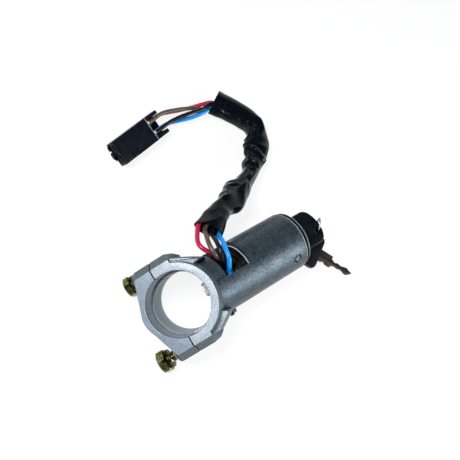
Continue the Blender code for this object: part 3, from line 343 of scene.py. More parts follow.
def smooth(mesh: Mesh, sharp_deg: float) -> None:
    """Shade a mesh smooth but for its edges over an angle."""
    mesh.shade_smooth()
    mesh.set_sharp_from_angle(angle=math.radians(sharp_deg))


def flattened(obj: Piece) -> Mesh:
    """Return an object's mesh with its modifiers applied, and clear them."""
    graph = bpy.context.evaluated_depsgraph_get()
    mesh = bpy.data.meshes.new_from_object(obj.evaluated_get(graph), depsgraph=graph)
    obj.modifiers.clear()
    return mesh


def skin(name: str, sections: Sequence[Points], matrix: Matrix, closed: bool = False,
         sharp_deg: float = 35.0) -> Mesh:
    """Skin equal loops of points into a closed mesh.

    Args:
        name: Mesh name.
        sections: Loops with the same number of points.
        matrix: Matrix from the points' millimetres to row metres.
        closed: True where the last loop joins the first.
        sharp_deg: Edges over this angle stay sharp.

    Returns:
        The new mesh.
    """
    count = len(sections[0])
    verts = [matrix @ Vector(point) for section in sections for point in section]
    faces = []
    for level in range(len(sections) if closed else len(sections) - 1):
        low, high = level * count, ((level + 1) % len(sections)) * count
        faces.extend((low + i, low + (i + 1) % count, high + (i + 1) % count, high + i) for i in range(count))
    if not closed:
        faces.append(tuple(range(count)))
        faces.append(tuple(range(len(verts) - count, len(verts))))
    mesh = bpy.data.meshes.new(name)
    mesh.from_pydata(verts, [], faces)
    with edited(mesh) as bm:
        bmesh.ops.recalc_face_normals(bm, faces=bm.faces)
    smooth(mesh, sharp_deg)
    return mesh


def lathe(name: str, profile: Pairs, matrix: Matrix, segments: int, hollow: bool = False,
          sharp_deg: float = 35.0) -> Mesh:
    """Turn a profile of (x, radius) points around X; a hollow one is a closed profile."""
    turns = [2.0 * math.pi * step / segments for step in range(segments)]
    if hollow:
        sections = [[(x, r * math.sin(a), r * math.cos(a)) for x, r in profile] for a in turns]
    else:
        sections = [[(x, r * math.sin(a), r * math.cos(a)) for a in turns] for x, r in profile]
    return skin(name, sections, matrix, hollow, sharp_deg)


def rounded(corners: Points, steps: int = 4) -> Pairs:
    """Return an outline whose corners of (x, y, radius) are rounded; radius 0 keeps the point."""
    out = []
    total = len(corners)
    for index, corner in enumerate(corners):
        x, y = corner[0], corner[1]
        radius = corner[2] if len(corner) > 2 else 0.0
        if radius <= 0.0:
            out.append((x, y))
            continue
        here = Vector((x, y))
        before = (Vector(corners[index - 1][:2]) - here).normalized() * radius
        after = (Vector(corners[(index + 1) % total][:2]) - here).normalized() * radius
        for step in range(steps):
            t = step / (steps - 1)
            point = here + before * (1.0 - t) ** 2 + after * t ** 2
            out.append((point.x, point.y))
    return out


def inset(outline: Pairs, amount: float) -> Pairs:
    """Move a closed outline inwards by an amount, whichever way it runs."""
    area = sum(a[0] * b[1] - b[0] * a[1] for a, b in zip(outline, [*outline[1:], outline[0]]))
    sign = 1.0 if area > 0 else -1.0
    out = []
    for index, point in enumerate(outline):
        here = Vector(point)
        first = here - Vector(outline[index - 1])
        second = Vector(outline[(index + 1) % len(outline)]) - here
        if first.length < 1e-9 or second.length < 1e-9:
            first = second = Vector(outline[(index + 1) % len(outline)]) - Vector(outline[index - 1])
        n1 = Vector((-first.y, first.x)).normalized() * sign
        n2 = Vector((-second.y, second.x)).normalized() * sign
        miter = (n1 + n2) / max(MITER_LIMIT, 1.0 + n1.dot(n2))
        moved = here + miter * amount
        out.append((moved.x, moved.y))
    return out


def plate(name: str, levels: Sequence[tuple[float, Pairs]], matrix: Matrix, edge: float) -> Mesh:
    """Stack outlines along Z and round both end edges.

    Args:
        name: Mesh name.
        levels: (z, outline) from one end to the other, all with the same number of points.
        matrix: Matrix from millimetres to row metres.
        edge: Radius of the two rounded end edges.

    Returns:
        The new mesh.
    """
    sections = []
    sign = 1.0 if levels[-1][0] > levels[0][0] else -1.0
    for share, depth in EDGE_STEPS:
        z = levels[0][0] + sign * edge * depth
        sections.append([(x, y, z) for x, y in inset(levels[0][1], edge * share)])
    for index, (z, outline) in enumerate(levels):
        z += sign * edge * ((index == 0) - (index == len(levels) - 1))
        sections.append([(x, y, z) for x, y in outline])
    for share, depth in reversed(EDGE_STEPS):
        z = levels[-1][0] - sign * edge * depth
        sections.append([(x, y, z) for x, y in inset(levels[-1][1], edge * share)])
    return skin(name, sections, matrix)


def carve(obj: Piece, helpers: Iterable[Piece], operation: str = "DIFFERENCE") -> None:
    """Join or cut an object with helper solids, bake the result and delete the helpers."""
    helpers = list(helpers)
    for helper in helpers:
        modifier = obj.modifiers.new(helper.name, "BOOLEAN")
        modifier.operation = operation
        modifier.solver = "EXACT"
        modifier.object = helper
    bake(obj)
    for helper in helpers:
        bpy.data.objects.remove(helper, do_unlink=True)


def bake(obj: Piece, sharp_deg: float = 35.0) -> None:
    """Apply every modifier of an object."""
    obj.data = flattened(obj)
    smooth(obj.data, sharp_deg)


def cutter(mesh: Mesh) -> Piece:
    """Link a mesh as a helper solid that is deleted after use."""
    return link(mesh.name, mesh)


def block(name: str, low: Point, high: Point, matrix: Matrix) -> Piece:
    """Return a box helper between two corners in millimetres."""
    outline = [(low[0], low[1]), (high[0], low[1]), (high[0], high[1]), (low[0], high[1])]
    sections = [[(x, y, z) for x, y in outline] for z in (low[2], high[2])]
    return cutter(skin(name, sections, matrix))


def paint(obj: Piece, material: Material, matrix: Matrix,
          wanted: Callable[[Vector, Vector], bool]) -> None:
    """Give some faces of a piece another material.

    Args:
        obj: The piece.
        material: The other material.
        matrix: Matrix from the test's millimetres to row metres.
        wanted: Test of a face's centre and normal in millimetres.
    """
    mesh = obj.data
    mesh.materials.append(material)
    slot = len(mesh.materials) - 1
    back = matrix.inverted()
    turn = matrix.to_3x3().normalized().transposed()
    for face in mesh.polygons:
        if wanted(back @ face.center, turn @ face.normal):
            face.material_index = slot


@dataclass(frozen=True)
class Assembly:
    """Visual pieces that are built together."""

    finishes: Finishes

    def piece(self, mesh: Mesh, finish: Finish | None, node: str, slot: str, body: Body = Body.LOCK,
              name: str | None = None) -> Piece:
        """Link a mesh as a piece of the model.

        Args:
            mesh: Its mesh, in row metres.
            finish: Its finish, or none where the mesh has one.
            node: CAD node that it stands for.
            slot: Name of its material slot; not used.
            body: The body that it rides on.
            name: Its name, or none for the mesh's.

        Returns:
            The new object.
        """
        obj = link(name or mesh.name, mesh)
        if finish:
            mesh.materials.append(self.finishes.of(finish))
        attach(obj, body.value)
        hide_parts(node)
        return obj

    def softened(self, node: str, name: str, finish: Finish, width_mm: float, slot: str, segments: int = 2,
                 body: Body = Body.LOCK) -> Piece:
        """Copy a CAD node with its moulded or broken edges rounded.

        Args:
            node: CAD node that the copy replaces.
            name: Name of the piece.
            finish: Its finish.
            width_mm: Width of the rounded edges.
            slot: Name of its material slot, handed to piece().
            segments: Steps of each rounded edge.
            body: The body that it rides on.

        Returns:
            The new piece.
        """
        mesh = bpy.data.meshes.new(name)
        with edited(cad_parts[node].data, mesh) as bm:
            bmesh.ops.remove_doubles(bm, verts=bm.verts, dist=MERGE_DISTANCE)
            bmesh.ops.dissolve_limit(bm, angle_limit=math.radians(FLAT_DEG), verts=bm.verts, edges=bm.edges)
            bmesh.ops.recalc_face_normals(bm, faces=bm.faces)
        obj = self.piece(mesh, finish, node, slot, body, name)
        bevel = obj.modifiers.new("rounded_edges", "BEVEL")
        bevel.width = width_mm * MM
        bevel.segments = segments
        bevel.limit_method = "ANGLE"
        bevel.angle_limit = math.radians(ROUNDED_DEG)
        bake(obj, 50.0)
        return obj


class RuleShape:
    """A Geometry Nodes tree with named sizes, baked to one plain mesh."""

    def __init__(self, name: str, material: Material) -> None:
        """Start an empty tree with its output."""
        self.name = name
        self.material = material
        self.values: dict[str, float] = {}
        self.tree = bpy.data.node_groups.new(name, "GeometryNodeTree")
        self.tree.interface.new_socket("Geometry", in_out="OUTPUT", socket_type="NodeSocketGeometry")
        self.entry = add_node(self.tree, "NodeGroupInput")

    def size(self, label: str, value: float, kind: str = "NodeSocketFloat") -> Socket:
        """Add a named input with its value and return its socket."""
        item = self.tree.interface.new_socket(label, in_out="INPUT", socket_type=kind)
        self.values[item.identifier] = value
        return self.entry.outputs[label]

    def bake(self, geometry: Socket, matrix: Matrix) -> Mesh:
        """Close the tree and turn its result into a mesh.

        Args:
            geometry: Socket of the finished geometry, in millimetres.
            matrix: Matrix from millimetres to row metres.

        Returns:
            The new mesh, with its material.
        """
        real = add_node(self.tree, "GeometryNodeRealizeInstances", {0: geometry})
        done = add_node(self.tree, "GeometryNodeSetMaterial", {"Geometry": real.outputs[0], "Material": self.material})
        add_node(self.tree, "NodeGroupOutput", {0: done.outputs[0]})
        holder = link(self.name, bpy.data.meshes.new(self.name + "_start"))
        modifier = holder.modifiers.new(self.name, "NODES")
        modifier.node_group = self.tree
        for identifier, value in self.values.items():
            modifier[identifier] = value
        mesh = flattened(holder)
        bpy.data.objects.remove(holder, do_unlink=True)
        mesh.transform(matrix)
        smooth(mesh, 50.0)
        return mesh


def smooth_path(points: Points, count: int) -> list[Vector]:
    """Sample a Catmull-Rom curve through the points at even parameter steps."""
    rows = [Vector(p) for p in points]
    rows = [rows[0] * 2.0 - rows[1], *rows, rows[-1] * 2.0 - rows[-2]]
    spans = len(rows) - 3
    out = []
    for step in range(count):
        at = spans * step / (count - 1)
        span = min(int(at), spans - 1)
        t = at - span
        a, b, c, d = rows[span:span + 4]
        out.append(0.5 * ((2 * b) + (c - a) * t + (2 * a - 5 * b + 4 * c - d) * t ** 2
                          + (3 * b - a - 3 * c + d) * t ** 3))
    return out


def even_path(points: Sequence[Vector], count: int) -> list[Vector]:
    """Pick points at even distances along a dense path."""
    lengths = [0.0]
    for a, b in zip(points, points[1:]):
        lengths.append(lengths[-1] + (b - a).length)
    out = []
    index = 0
    for step in range(count):
        target = lengths[-1] * step / (count - 1)
        while index < len(points) - 2 and lengths[index + 1] < target:
            index += 1
        span = max(lengths[index + 1] - lengths[index], 1e-12)
        out.append(points[index].lerp(points[index + 1], min(1.0, (target - lengths[index]) / span)))
    return out


def between(table: Pairs, at: float) -> float:
    """Read a table of (place, value) rows with smooth steps between them."""
    if at <= table[0][0]:
        return table[0][1]
    for (x0, y0), (x1, y1) in zip(table, table[1:]):
        if at <= x1:
            t = (at - x0) / (x1 - x0)
            return y0 + (y1 - y0) * t * t * (3.0 - 2.0 * t)
    return table[-1][1]


# Clamp and barrel casting, in lock and clamp millimetres

BORE_RADIUS = 20.0
REAR_BORE_RADIUS = 18.8
REAR_BORE_SHIFT = -0.6
LAND_DEPTH = 14.0
COLLAR_RADIUS = 25.0
SPLIT_U = -4.6
SPLIT_HALF_GAP = 0.2
EAR_END_U = 8.5
BOLT_HALF_SPAN = 25.2
BOLT_DEPTH = 16.0
SEAT_HALF_SPAN = BOLT_HALF_SPAN - 1.5
SEAT_PROFILE = ((-20.5, 6.6), (-20.35, 7.0), (-20.0, 7.2), (-10.0, 7.2))
EAR_HALF = 30.5
EAR_SWELL = 0.8
# How far the ears' ends draw back for each millimetre that the cap swells
EAR_TAPER = 2.4
# Depth and half width of the ears, and how far the cap swells there
EAR_LEVELS = ((0.0, 26.0, 0.0), (7.0, EAR_HALF, EAR_SWELL), (25.0, EAR_HALF, EAR_SWELL), (32.0, 28.0, 0.0))
FACE_EDGE = 0.45
# Side webs between the collar and the barrel: corners in the clamp's plane with their radii, and their depths
UPPER_WEB = ((2.0, 22.0, 0.6), (3.0, 27.6, 0.6), (8.5, 26.3, 1.0), (16.7, 21.9, 1.6), (24.2, 17.2, 0.5),
             (18.6, 16.4, 0.5), (15.4, 15.4, 0.3))
LOWER_WEB = ((2.0, -22.0, 0.6), (3.0, -26.8, 0.6), (11.3, -26.4, 1.0), (21.3, -20.2, 0.8), (21.9, -18.4, 0.5),
             (19.0, -16.6, 0.5), (15.4, -15.4, 0.3))
WEB_DEPTHS = (-9.0, -24.0)
WEB_EDGE = 0.7
# Slot of the tongue through the casting, between two corners in lock millimetres
TONGUE_SLOT = ((8.0, -5.6, 4.8), (42.0, 4.1, 12.5))
TUBE_RADIUS = 20.0
TUBE_WALL = 3.5
INSERT_RADIUS = TUBE_RADIUS - TUBE_WALL - 0.3
TUBE_START_X = 2.0
TUBE_END_X = 97.0
TUBE_CHAMFER = 0.9
FLOOR_RADIUS = 23.5
WINDOW_START_X = 34.0
WINDOW_END_X = 52.7
WINDOW_EDGE_Y = -0.5
WINDOW_LOW_Z = -3.5
# Start, sweep and steps of the bright lip round the window's end wall, bare metal partly painted as highlight
WINDOW_LIP_DEG = (-1.0, 102.0, 48)
SHOULDER_DEPTH = 1.2
SHOULDER_START_X = 14.0
LUG_X = 37.0
LUG_Z = -8.0
SCREW_X = 87.4
SCREW_ANGLE = math.radians(-44.0)


def screw_frame() -> Matrix:
    """Return the matrix whose X runs outwards along the housing screw."""
    turn = Matrix.Rotation(-SCREW_ANGLE, 4, "X") @ X_TO_Z
    return lock_frame() @ Matrix.Translation((SCREW_X, 0.0, 0.0)) @ turn


def bore_arc(radius: float, shift: float, split: float, towards: float, count: int) -> Pairs:
    """Return the bore's arc from the split line at +v to the split line at -v."""
    reach = math.acos(max(-1.0, min(1.0, (split - shift) / radius)))
    out = []
    for step in range(count):
        share = 1.0 - 2.0 * step / (count - 1)
        angle = reach * share if towards > 0 else math.pi + (math.pi - reach) * -share
        out.append((shift + radius * math.cos(angle), radius * math.sin(angle)))
    return out


@dataclass(frozen=True)
class ClampHalf(Assembly):
    """One half of the column clamp, stacked from outlines along the clamp axis."""

    arc_points: int = 72
    flank_band: float = 0.7
    land_band: float = 0.4
    edge_band: float = 0.42

    def levels(self, outline: Callable[[float, float, float, float], list]) -> list:
        """Return (z, outline) pairs with the step of the bore at the end of the front land.

        Args:
            outline: Makes an outline from ear half width, swell, bore radius and bore shift.

        Returns:
            The levels for plate().
        """
        out = []
        step = ((LAND_DEPTH, EAR_HALF, EAR_SWELL), (LAND_DEPTH + 0.03, EAR_HALF, EAR_SWELL))
        for depth, half, swell in sorted([*EAR_LEVELS, *step]):
            front = depth <= LAND_DEPTH
            bore = (BORE_RADIUS, 0.0) if front else (REAR_BORE_RADIUS, REAR_BORE_SHIFT)
            out.append((-depth, outline(half, swell, *bore)))
        return out

    def paint_faces(self, piece: Piece) -> None:
        """Tell the pale front face, the bored lands and the dark flanks and rear apart; the flanks, rear and edge rings
        are painted shade.
        """
        place = clamp_frame()
        flank, land = BORE_RADIUS + self.flank_band, BORE_RADIUS + self.land_band
        # Painted shade: outer faces that turn away from the front, and faces that look back, get the darker flank copy
        paint(piece, self.finishes.of(FLANK_PAINTED_SHADE), place,
              lambda c, n: math.hypot(c.x, c.y) > flank and n.z < 0.75 or n.z < -0.8)
        paint(piece, self.finishes.of(BORED_LAND), place, lambda c, n: math.hypot(c.x, c.y) < land and abs(n.z) < 0.5)
        # Painted shade: the rounded edges next to the front face get the dark outline
        paint(piece, self.finishes.of(EDGE_SHADE), place, lambda c, n: c.z > -self.edge_band and n.z < 0.95)


class HousingClamp(ClampHalf):
    """The half that is cast with the barrel: collar, ears and side webs."""

    def outline(self, half: float, swell: float, radius: float, shift: float) -> Pairs:
        """Return the collar and ears at one depth."""
        split = SPLIT_U + SPLIT_HALF_GAP
        inner = bore_arc(radius, shift, split, 1.0, self.arc_points)
        end = EAR_END_U - EAR_TAPER * swell
        reach = math.acos(end / COLLAR_RADIUS)
        collar = [(COLLAR_RADIUS * math.cos(a), COLLAR_RADIUS * math.sin(a))
                  for a in (-reach + 2.0 * reach * i / 48 for i in range(49))]
        ears = [(split, -half, 0.7), (end, -half, 0.9)]
        top = [(end, half, 0.9), (split, half, 0.7)]
        return rounded([*inner, *ears, *collar, *top])

    def build(self) -> list[Piece]:
        """Build the collar with its ears, and the two webs."""
        matrix = clamp_frame()
        mesh = plate("housing_clamp", self.levels(self.outline), matrix, FACE_EDGE)
        half = self.piece(mesh, BLASTED_FACE_PAINTED_LIGHT, "lock_housing", "casting")
        carve(half, [block("slot", *TONGUE_SLOT, lock_frame())])
        self.paint_faces(half)
        pieces = [half]
        for name, corners in (("upper", UPPER_WEB), ("lower", LOWER_WEB)):
            outline = rounded(corners)
            web = plate(name + "_web", [(depth, outline) for depth in WEB_DEPTHS], matrix, WEB_EDGE)
            pieces.append(self.piece(web, BLASTED_FACE_PAINTED_LIGHT, "lock_housing", "casting"))
            self.paint_faces(pieces[-1])
        return pieces


class CapClamp(ClampHalf):
    """The loose cap with its two bolt seats."""

    def outline(self, half: float, swell: float, radius: float, shift: float) -> Pairs:
        """Return the cap at one depth."""
        split = SPLIT_U - SPLIT_HALF_GAP
        inner = bore_arc(radius, shift, split, -1.0, self.arc_points)
        side = [(split, half, 0.6), (-16.2 - swell * 0.6, half, 1.6), (-21.4 - swell, 10.0, 1.5),
                (-23.1 - swell, 6.0, 1.2), (-24.0 - swell, 3.0, 0.9)]
        top = [(-24.3 - swell, 0.0, 0.8)]
        lower = [(u, -v, r) for u, v, r in reversed(side)]
        return rounded([*reversed(inner), *side, *top, *lower])

    def build(self) -> list[Piece]:
        """Build the cap and its bolt seats."""
        matrix = clamp_frame()
        mesh = plate("cap_casting", self.levels(self.outline), matrix, FACE_EDGE)
        pieces = [self.piece(mesh, BLASTED_CAP_PAINTED_LIGHT, "clamp_cap", "cap_casting")]
        self.paint_faces(pieces[0])
        for name, side in SIDES:
            place = matrix @ Matrix.Translation((0.0, side * SEAT_HALF_SPAN, -BOLT_DEPTH))
            seat = lathe(name + "_bolt_seat", SEAT_PROFILE, place, 64)
            pieces.append(self.piece(seat, FLANK_PAINTED_SHADE, "clamp_cap", "cap_casting"))
        return pieces


@dataclass(frozen=True)
class Barrel(Assembly):
    """The barrel tube with its switch window and bright edges: bare machined metal, partly painted as their highlight.
    """

    segments: int = 160
    rings: int = 34
    start_chamfer: float = 0.4
    bore_clearance: float = 0.6
    arm_reach: float = 2.0
    arm_half: float = 0.42
    arm_least: float = 0.34

    def bore_cutter(self, name: str, radius: float, front: float, rear: float, shift: float = 0.0) -> Piece:
        """Return a cylinder along the clamp axis between two depths."""
        turn = clamp_frame() @ Matrix.Translation((shift, 0.0, 0.0)) @ X_TO_Z
        return cutter(lathe(name, [(front, radius), (rear, radius)], turn, 120))

    def build(self) -> list[Piece]:
        """Build the tube, its stepped lug and the screw in its countersink."""
        matrix = lock_frame()
        r = TUBE_RADIUS
        run = TUBE_END_X - TUBE_CHAMFER - TUBE_START_X - self.start_chamfer
        start = TUBE_START_X + self.start_chamfer
        profile = [(TUBE_START_X, r - self.start_chamfer)]
        profile += [(start + run * step / self.rings, r) for step in range(self.rings + 1)]
        profile += [(TUBE_END_X - 0.45, r - 0.25), (TUBE_END_X, r - TUBE_CHAMFER)]
        tube = self.piece(lathe("barrel_tube", profile, matrix, self.segments), BARREL_LACQUER_SHADED, "lock_housing",
                          "casting")
        near, far = SHOULDER_START_X, WINDOW_START_X + 1.0
        low, high = r - SHOULDER_DEPTH, r + 3.0
        relief = cutter(lathe("shoulder", [(near, low), (near, high), (far, high), (far, low)], matrix,
                              self.segments, True))
        carve(relief, [block("side", (0.0, -30.0, -30.0), (60.0, WINDOW_EDGE_Y, 30.0), matrix)])
        carve(relief, [block("low", (0.0, -30.0, -30.0), (60.0, 30.0, WINDOW_LOW_Z), matrix)])
        cavity = cutter(lathe("cavity", [(20.0, r - TUBE_WALL), (TUBE_END_X + 5.0, r - TUBE_WALL)], matrix,
                              self.segments))
        carve(cavity, [self.bore_cutter("floor", FLOOR_RADIUS, -90.0, 40.0)])
        window = block("window", (WINDOW_START_X, WINDOW_EDGE_Y, WINDOW_LOW_Z), (WINDOW_END_X, 30.0, 30.0), matrix)
        split = block("split", (-90.0, -60.0, -90.0), (SPLIT_U + 4.0, 60.0, 30.0), clamp_frame())
        bore = self.bore_cutter("bore", BORE_RADIUS + self.bore_clearance, -LAND_DEPTH - 0.5, 5.0)
        rear = self.bore_cutter("rear_bore", REAR_BORE_RADIUS + self.bore_clearance, -75.0, 4.0, REAR_BORE_SHIFT)
        face = block("face", (-60.0, -60.0, -1.2), (90.0, 60.0, 60.0), clamp_frame())
        slot = block("slot", *TONGUE_SLOT, matrix)
        sink = cutter(lathe("sink", [(r - 7.0, 1.8), (r - 2.4, 1.8), (r - 0.7, 3.1), (r + 0.1, 3.5), (r + 3.0, 3.5)],
                            screw_frame(), 48))
        carve(tube, [relief, cavity, window, split, bore, rear, face, slot, sink])
        # The end chamfer is painted bright: bare machined metal, partly a painted highlight on the rim
        paint(tube, self.finishes.of(BARE_METAL_AND_HIGHLIGHT), matrix,
              lambda c, n: c.x > TUBE_END_X - TUBE_CHAMFER and n.x > 0.2)
        return [tube, self.window_edge(), self.lug(), self.screw()]

    def window_edge(self) -> Piece:
        """Build the bright lip along the inner edge of the window's end wall: bare metal, partly a painted highlight.
        """
        low, high = TUBE_RADIUS - TUBE_WALL + 0.05, TUBE_RADIUS - TUBE_WALL + 0.95
        profile = ((52.4, low + 0.3), (52.4, high - 0.3), (52.6, high), (53.0, high), (53.0, low), (52.6, low))
        first, sweep, steps = WINDOW_LIP_DEG
        angles = [math.radians(first + sweep * step / steps) for step in range(steps + 1)]
        sections = [[(x, r * math.sin(a), r * math.cos(a)) for x, r in profile] for a in angles]
        return self.piece(skin("window_lip_bare_and_highlight", sections, lock_frame()), BARE_METAL_AND_HIGHLIGHT, "lock_housing", "casting")

    def lug(self) -> Piece:
        """Build the stepped lug low on the barrel's side; the CAD pin stands in it."""
        r = TUBE_RADIUS
        turn = Matrix.Translation((LUG_X, 0.0, LUG_Z)) @ Matrix.Rotation(-math.pi / 2.0, 4, "Z")
        profile = [(r - 5.0, 5.0), (r - 1.3, 5.0), (r - 1.0, 4.7), (r - 0.9, 3.9), (r + 1.9, 3.6), (r + 2.3, 3.3),
                   (r + 2.4, 2.9), (r + 2.4, 1.95), (r + 1.6, 1.85)]
        return self.piece(lathe("side_lug", profile, lock_frame() @ turn, 48), DARK_CASTING, "lock_housing", "casting")

    def screw(self) -> Piece:
        """Build the countersunk screw with its bright cross recess."""
        r = TUBE_RADIUS
        place = screw_frame()
        profile = [(13.0, 1.5), (r - 2.3, 1.5), (r - 0.9, 2.85), (r - 0.55, 2.9), (r - 0.35, 2.6), (r - 0.28, 1.8)]
        screw = self.piece(lathe("cross_recess_screw", profile, place, 48), DARK_CASTING, "housing_screw", "steel")
        arms = []
        for wide, thin in ((self.arm_reach, self.arm_half), (self.arm_half, self.arm_reach)):
            sections = []
            for x, share in ((r - 1.9, 0.45), (r + 0.5, 1.1)):
                y, z = max(self.arm_least, wide * share), max(self.arm_least, thin * share)
                sections.append([(x, -y, -z), (x, y, -z), (x, y, z), (x, -y, z)])
            arms.append(cutter(skin("arm", sections, place)))
        carve(screw, arms)
        paint(screw, self.finishes.of(BARE_METAL_AND_HIGHLIGHT), place,
              lambda c, n: math.hypot(c.y, c.z) < 2.2 and c.x < r - 0.3 and c.x > r - 2.2 and abs(n.x) < 0.98
              or math.hypot(c.y, c.z) < 1.9 and c.x < r - 1.0)
        return screw


# Fasteners, lock and switch

# Height over the bolt head's end and radius of its chamfer, as a share of half the flats
HEAD_CONE = ((0.0, 0.86), (0.12, 0.93), (0.35, 1.0), (0.6, 1.07), (0.95, 1.16))


@dataclass(frozen=True)
class ClampFixings(Assembly):
    """The two clamp bolts with their threads and spring washers."""

    flats: float = 13.0
    head: float = 5.5
    root: float = 3.0
    pitch: float = 1.0
    ridge: float = 0.42
    ridge_lift: float = 0.14
    plain_tip: float = 1.2
    seat_u: float = -20.5
    tip_u: float = 6.5
    washer: float = 1.8
    gaps: tuple[float, float] = (0.6, 5.4)
    upper_head_share: float = 0.9
    head_turn_deg: float = 12.0
    sharp_deg: float = 22.0

    def build(self) -> list[Piece]:
        """Build the bolts, threads and washers."""
        pieces = []
        for (name, side), gap in zip(SIDES, self.gaps):
            place = clamp_frame() @ Matrix.Translation((0.0, side * BOLT_HALF_SPAN, -BOLT_DEPTH))
            start = self.seat_u - self.washer - gap
            pieces.append(self.bolt(name, start, place))
            pieces.append(self.thread(name, start, place))
            pieces.append(self.softened("spring_washer_" + name, name + "_spring_washer", DARK_ZINC, 0.25, "steel"))
        return pieces

    def bolt(self, name: str, start: float, place: Matrix) -> Piece:
        """Build one bolt's chamfered hexagon head and core.

        Args:
            name: Upper or lower.
            start: Place of the bearing face along the bolt.
            place: Matrix of the bolt's own frame.

        Returns:
            The bolt.
        """
        tight = self.upper_head_share if name == "upper" else 1.0
        half, end = self.flats * tight / 2.0, start - self.head * tight ** 2
        tall = start - end
        sections = []
        for rise, cone in (*HEAD_CONE, (tall - 0.4, 1.16), (tall - 0.12, 1.08), (tall, 0.99)):
            ring = []
            for step in range(72):
                angle = math.radians(5.0 * step + self.head_turn_deg)
                flat = half / math.cos(math.radians((5.0 * step) % 60.0 - 30.0))
                radius = min(flat, half * cone)
                ring.append((end + rise, radius * math.sin(angle), radius * math.cos(angle)))
            sections.append(ring)
        mesh = skin(name + "_bolt", sections, place, False, self.sharp_deg)
        bolt = self.piece(mesh, YELLOW_ZINC, "clamp_bolt_" + name, "yellow_zinc")
        core = [(start - 1.0, self.root), (self.tip_u - 0.9, self.root), (self.tip_u, self.root - 0.7)]
        carve(bolt, [cutter(lathe(name + "_core", core, place, 40))], "UNION")
        bolt.data.set_sharp_from_angle(angle=math.radians(self.sharp_deg))
        return bolt

    def thread(self, name: str, start: float, place: Matrix) -> Piece:
        """Wind the thread's ridge round one bolt with Geometry Nodes."""
        shape = RuleShape(name + "_thread_rule", self.finishes.of(YELLOW_ZINC))
        run = self.tip_u - self.plain_tip - start
        length = shape.size("Length", run)
        turns = shape.size("Turns", run / self.pitch)
        radius = shape.size("Radius", self.root + self.ridge_lift)
        spiral = add_node(shape.tree, "GeometryNodeCurveSpiral", {"Resolution": 28, "Rotations": turns,
                                                                  "Start Radius": radius, "End Radius": radius,
                                                                  "Height": length})
        ridge = add_node(shape.tree, "GeometryNodeCurvePrimitiveCircle", {"Resolution": 3,
                                                                          "Radius": shape.size("Ridge", self.ridge)})
        swept = add_node(shape.tree, "GeometryNodeCurveToMesh", {"Curve": spiral.outputs[0],
                                                                 "Profile Curve": ridge.outputs[0],
                                                                 "Fill Caps": True})
        turn = place @ Matrix.Translation((start + 0.4, 0.0, 0.0)) @ Z_TO_X
        return self.piece(shape.bake(swept.outputs[0], turn), None, "clamp_bolt_" + name, "yellow_zinc",
                          name=name + "_bolt_thread")


@dataclass(frozen=True)
class LockInsert(Assembly):
    """The lock's fixed sleeve with its lip, and the tongue in the clamp."""

    lip: float = 19.2
    groove: float = 17.6
    bore: float = 7.8
    bright_u: float = 22.0

    def build(self) -> list[Piece]:
        """Build the sleeve and the tongue."""
        outer = INSERT_RADIUS
        profile = [(65.6, self.bore), (65.6, outer), (97.3, outer), (97.3, self.groove), (98.4, self.groove),
                   (98.4, self.lip - 0.15), (98.55, self.lip), (99.3, self.lip), (99.65, self.lip - 0.2),
                   (99.8, self.lip - 0.55), (99.8, 12.2), (99.5, 11.9), (99.5, 9.0), (99.8, 8.7),
                   (99.8, self.bore + 0.2), (99.6, self.bore)]
        sleeve = self.piece(lathe("lock_insert", profile, lock_frame(), 160, True, 40.0), DARK_CASTING, "lock_sleeve",
                            "dark_zinc")
        # The lip's outer edge is painted bright: worn bare metal, partly a painted highlight
        paint(sleeve, self.finishes.of(BARE_METAL_AND_HIGHLIGHT), lock_frame(),
              lambda c, n: 99.3 < c.x < 99.8 and math.hypot(c.y, c.z) > self.lip - 0.6)
        tongue = self.softened("lock_tongue", "tongue_bar", DARK_CASTING, 0.8, "steel", 3, Body.TONGUE)
        with edited(tongue.data) as bm:
            bmesh.ops.bisect_plane(bm, geom=[*bm.verts, *bm.edges, *bm.faces],
                                   plane_co=clamp_frame() @ Vector((self.bright_u, 0.0, 0.0)),
                                   plane_no=(clamp_frame().to_3x3() @ Vector((1.0, 0.0, 0.0))).normalized())
        # Painted highlight: the tongue's faces that look straight up, short of bright_u, get the bright finish as the
        # light falling on them
        upper = clamp_frame().to_3x3().normalized().inverted() @ lock_frame().to_3x3().normalized()
        rise = upper @ Vector((0.0, 0.0, 1.0))
        paint(tongue, self.finishes.of(BARE_METAL_AND_HIGHLIGHT), clamp_frame(),
              lambda c, n: c.x < self.bright_u and n.dot(rise) > 0.97)
        return [sleeve, tongue]


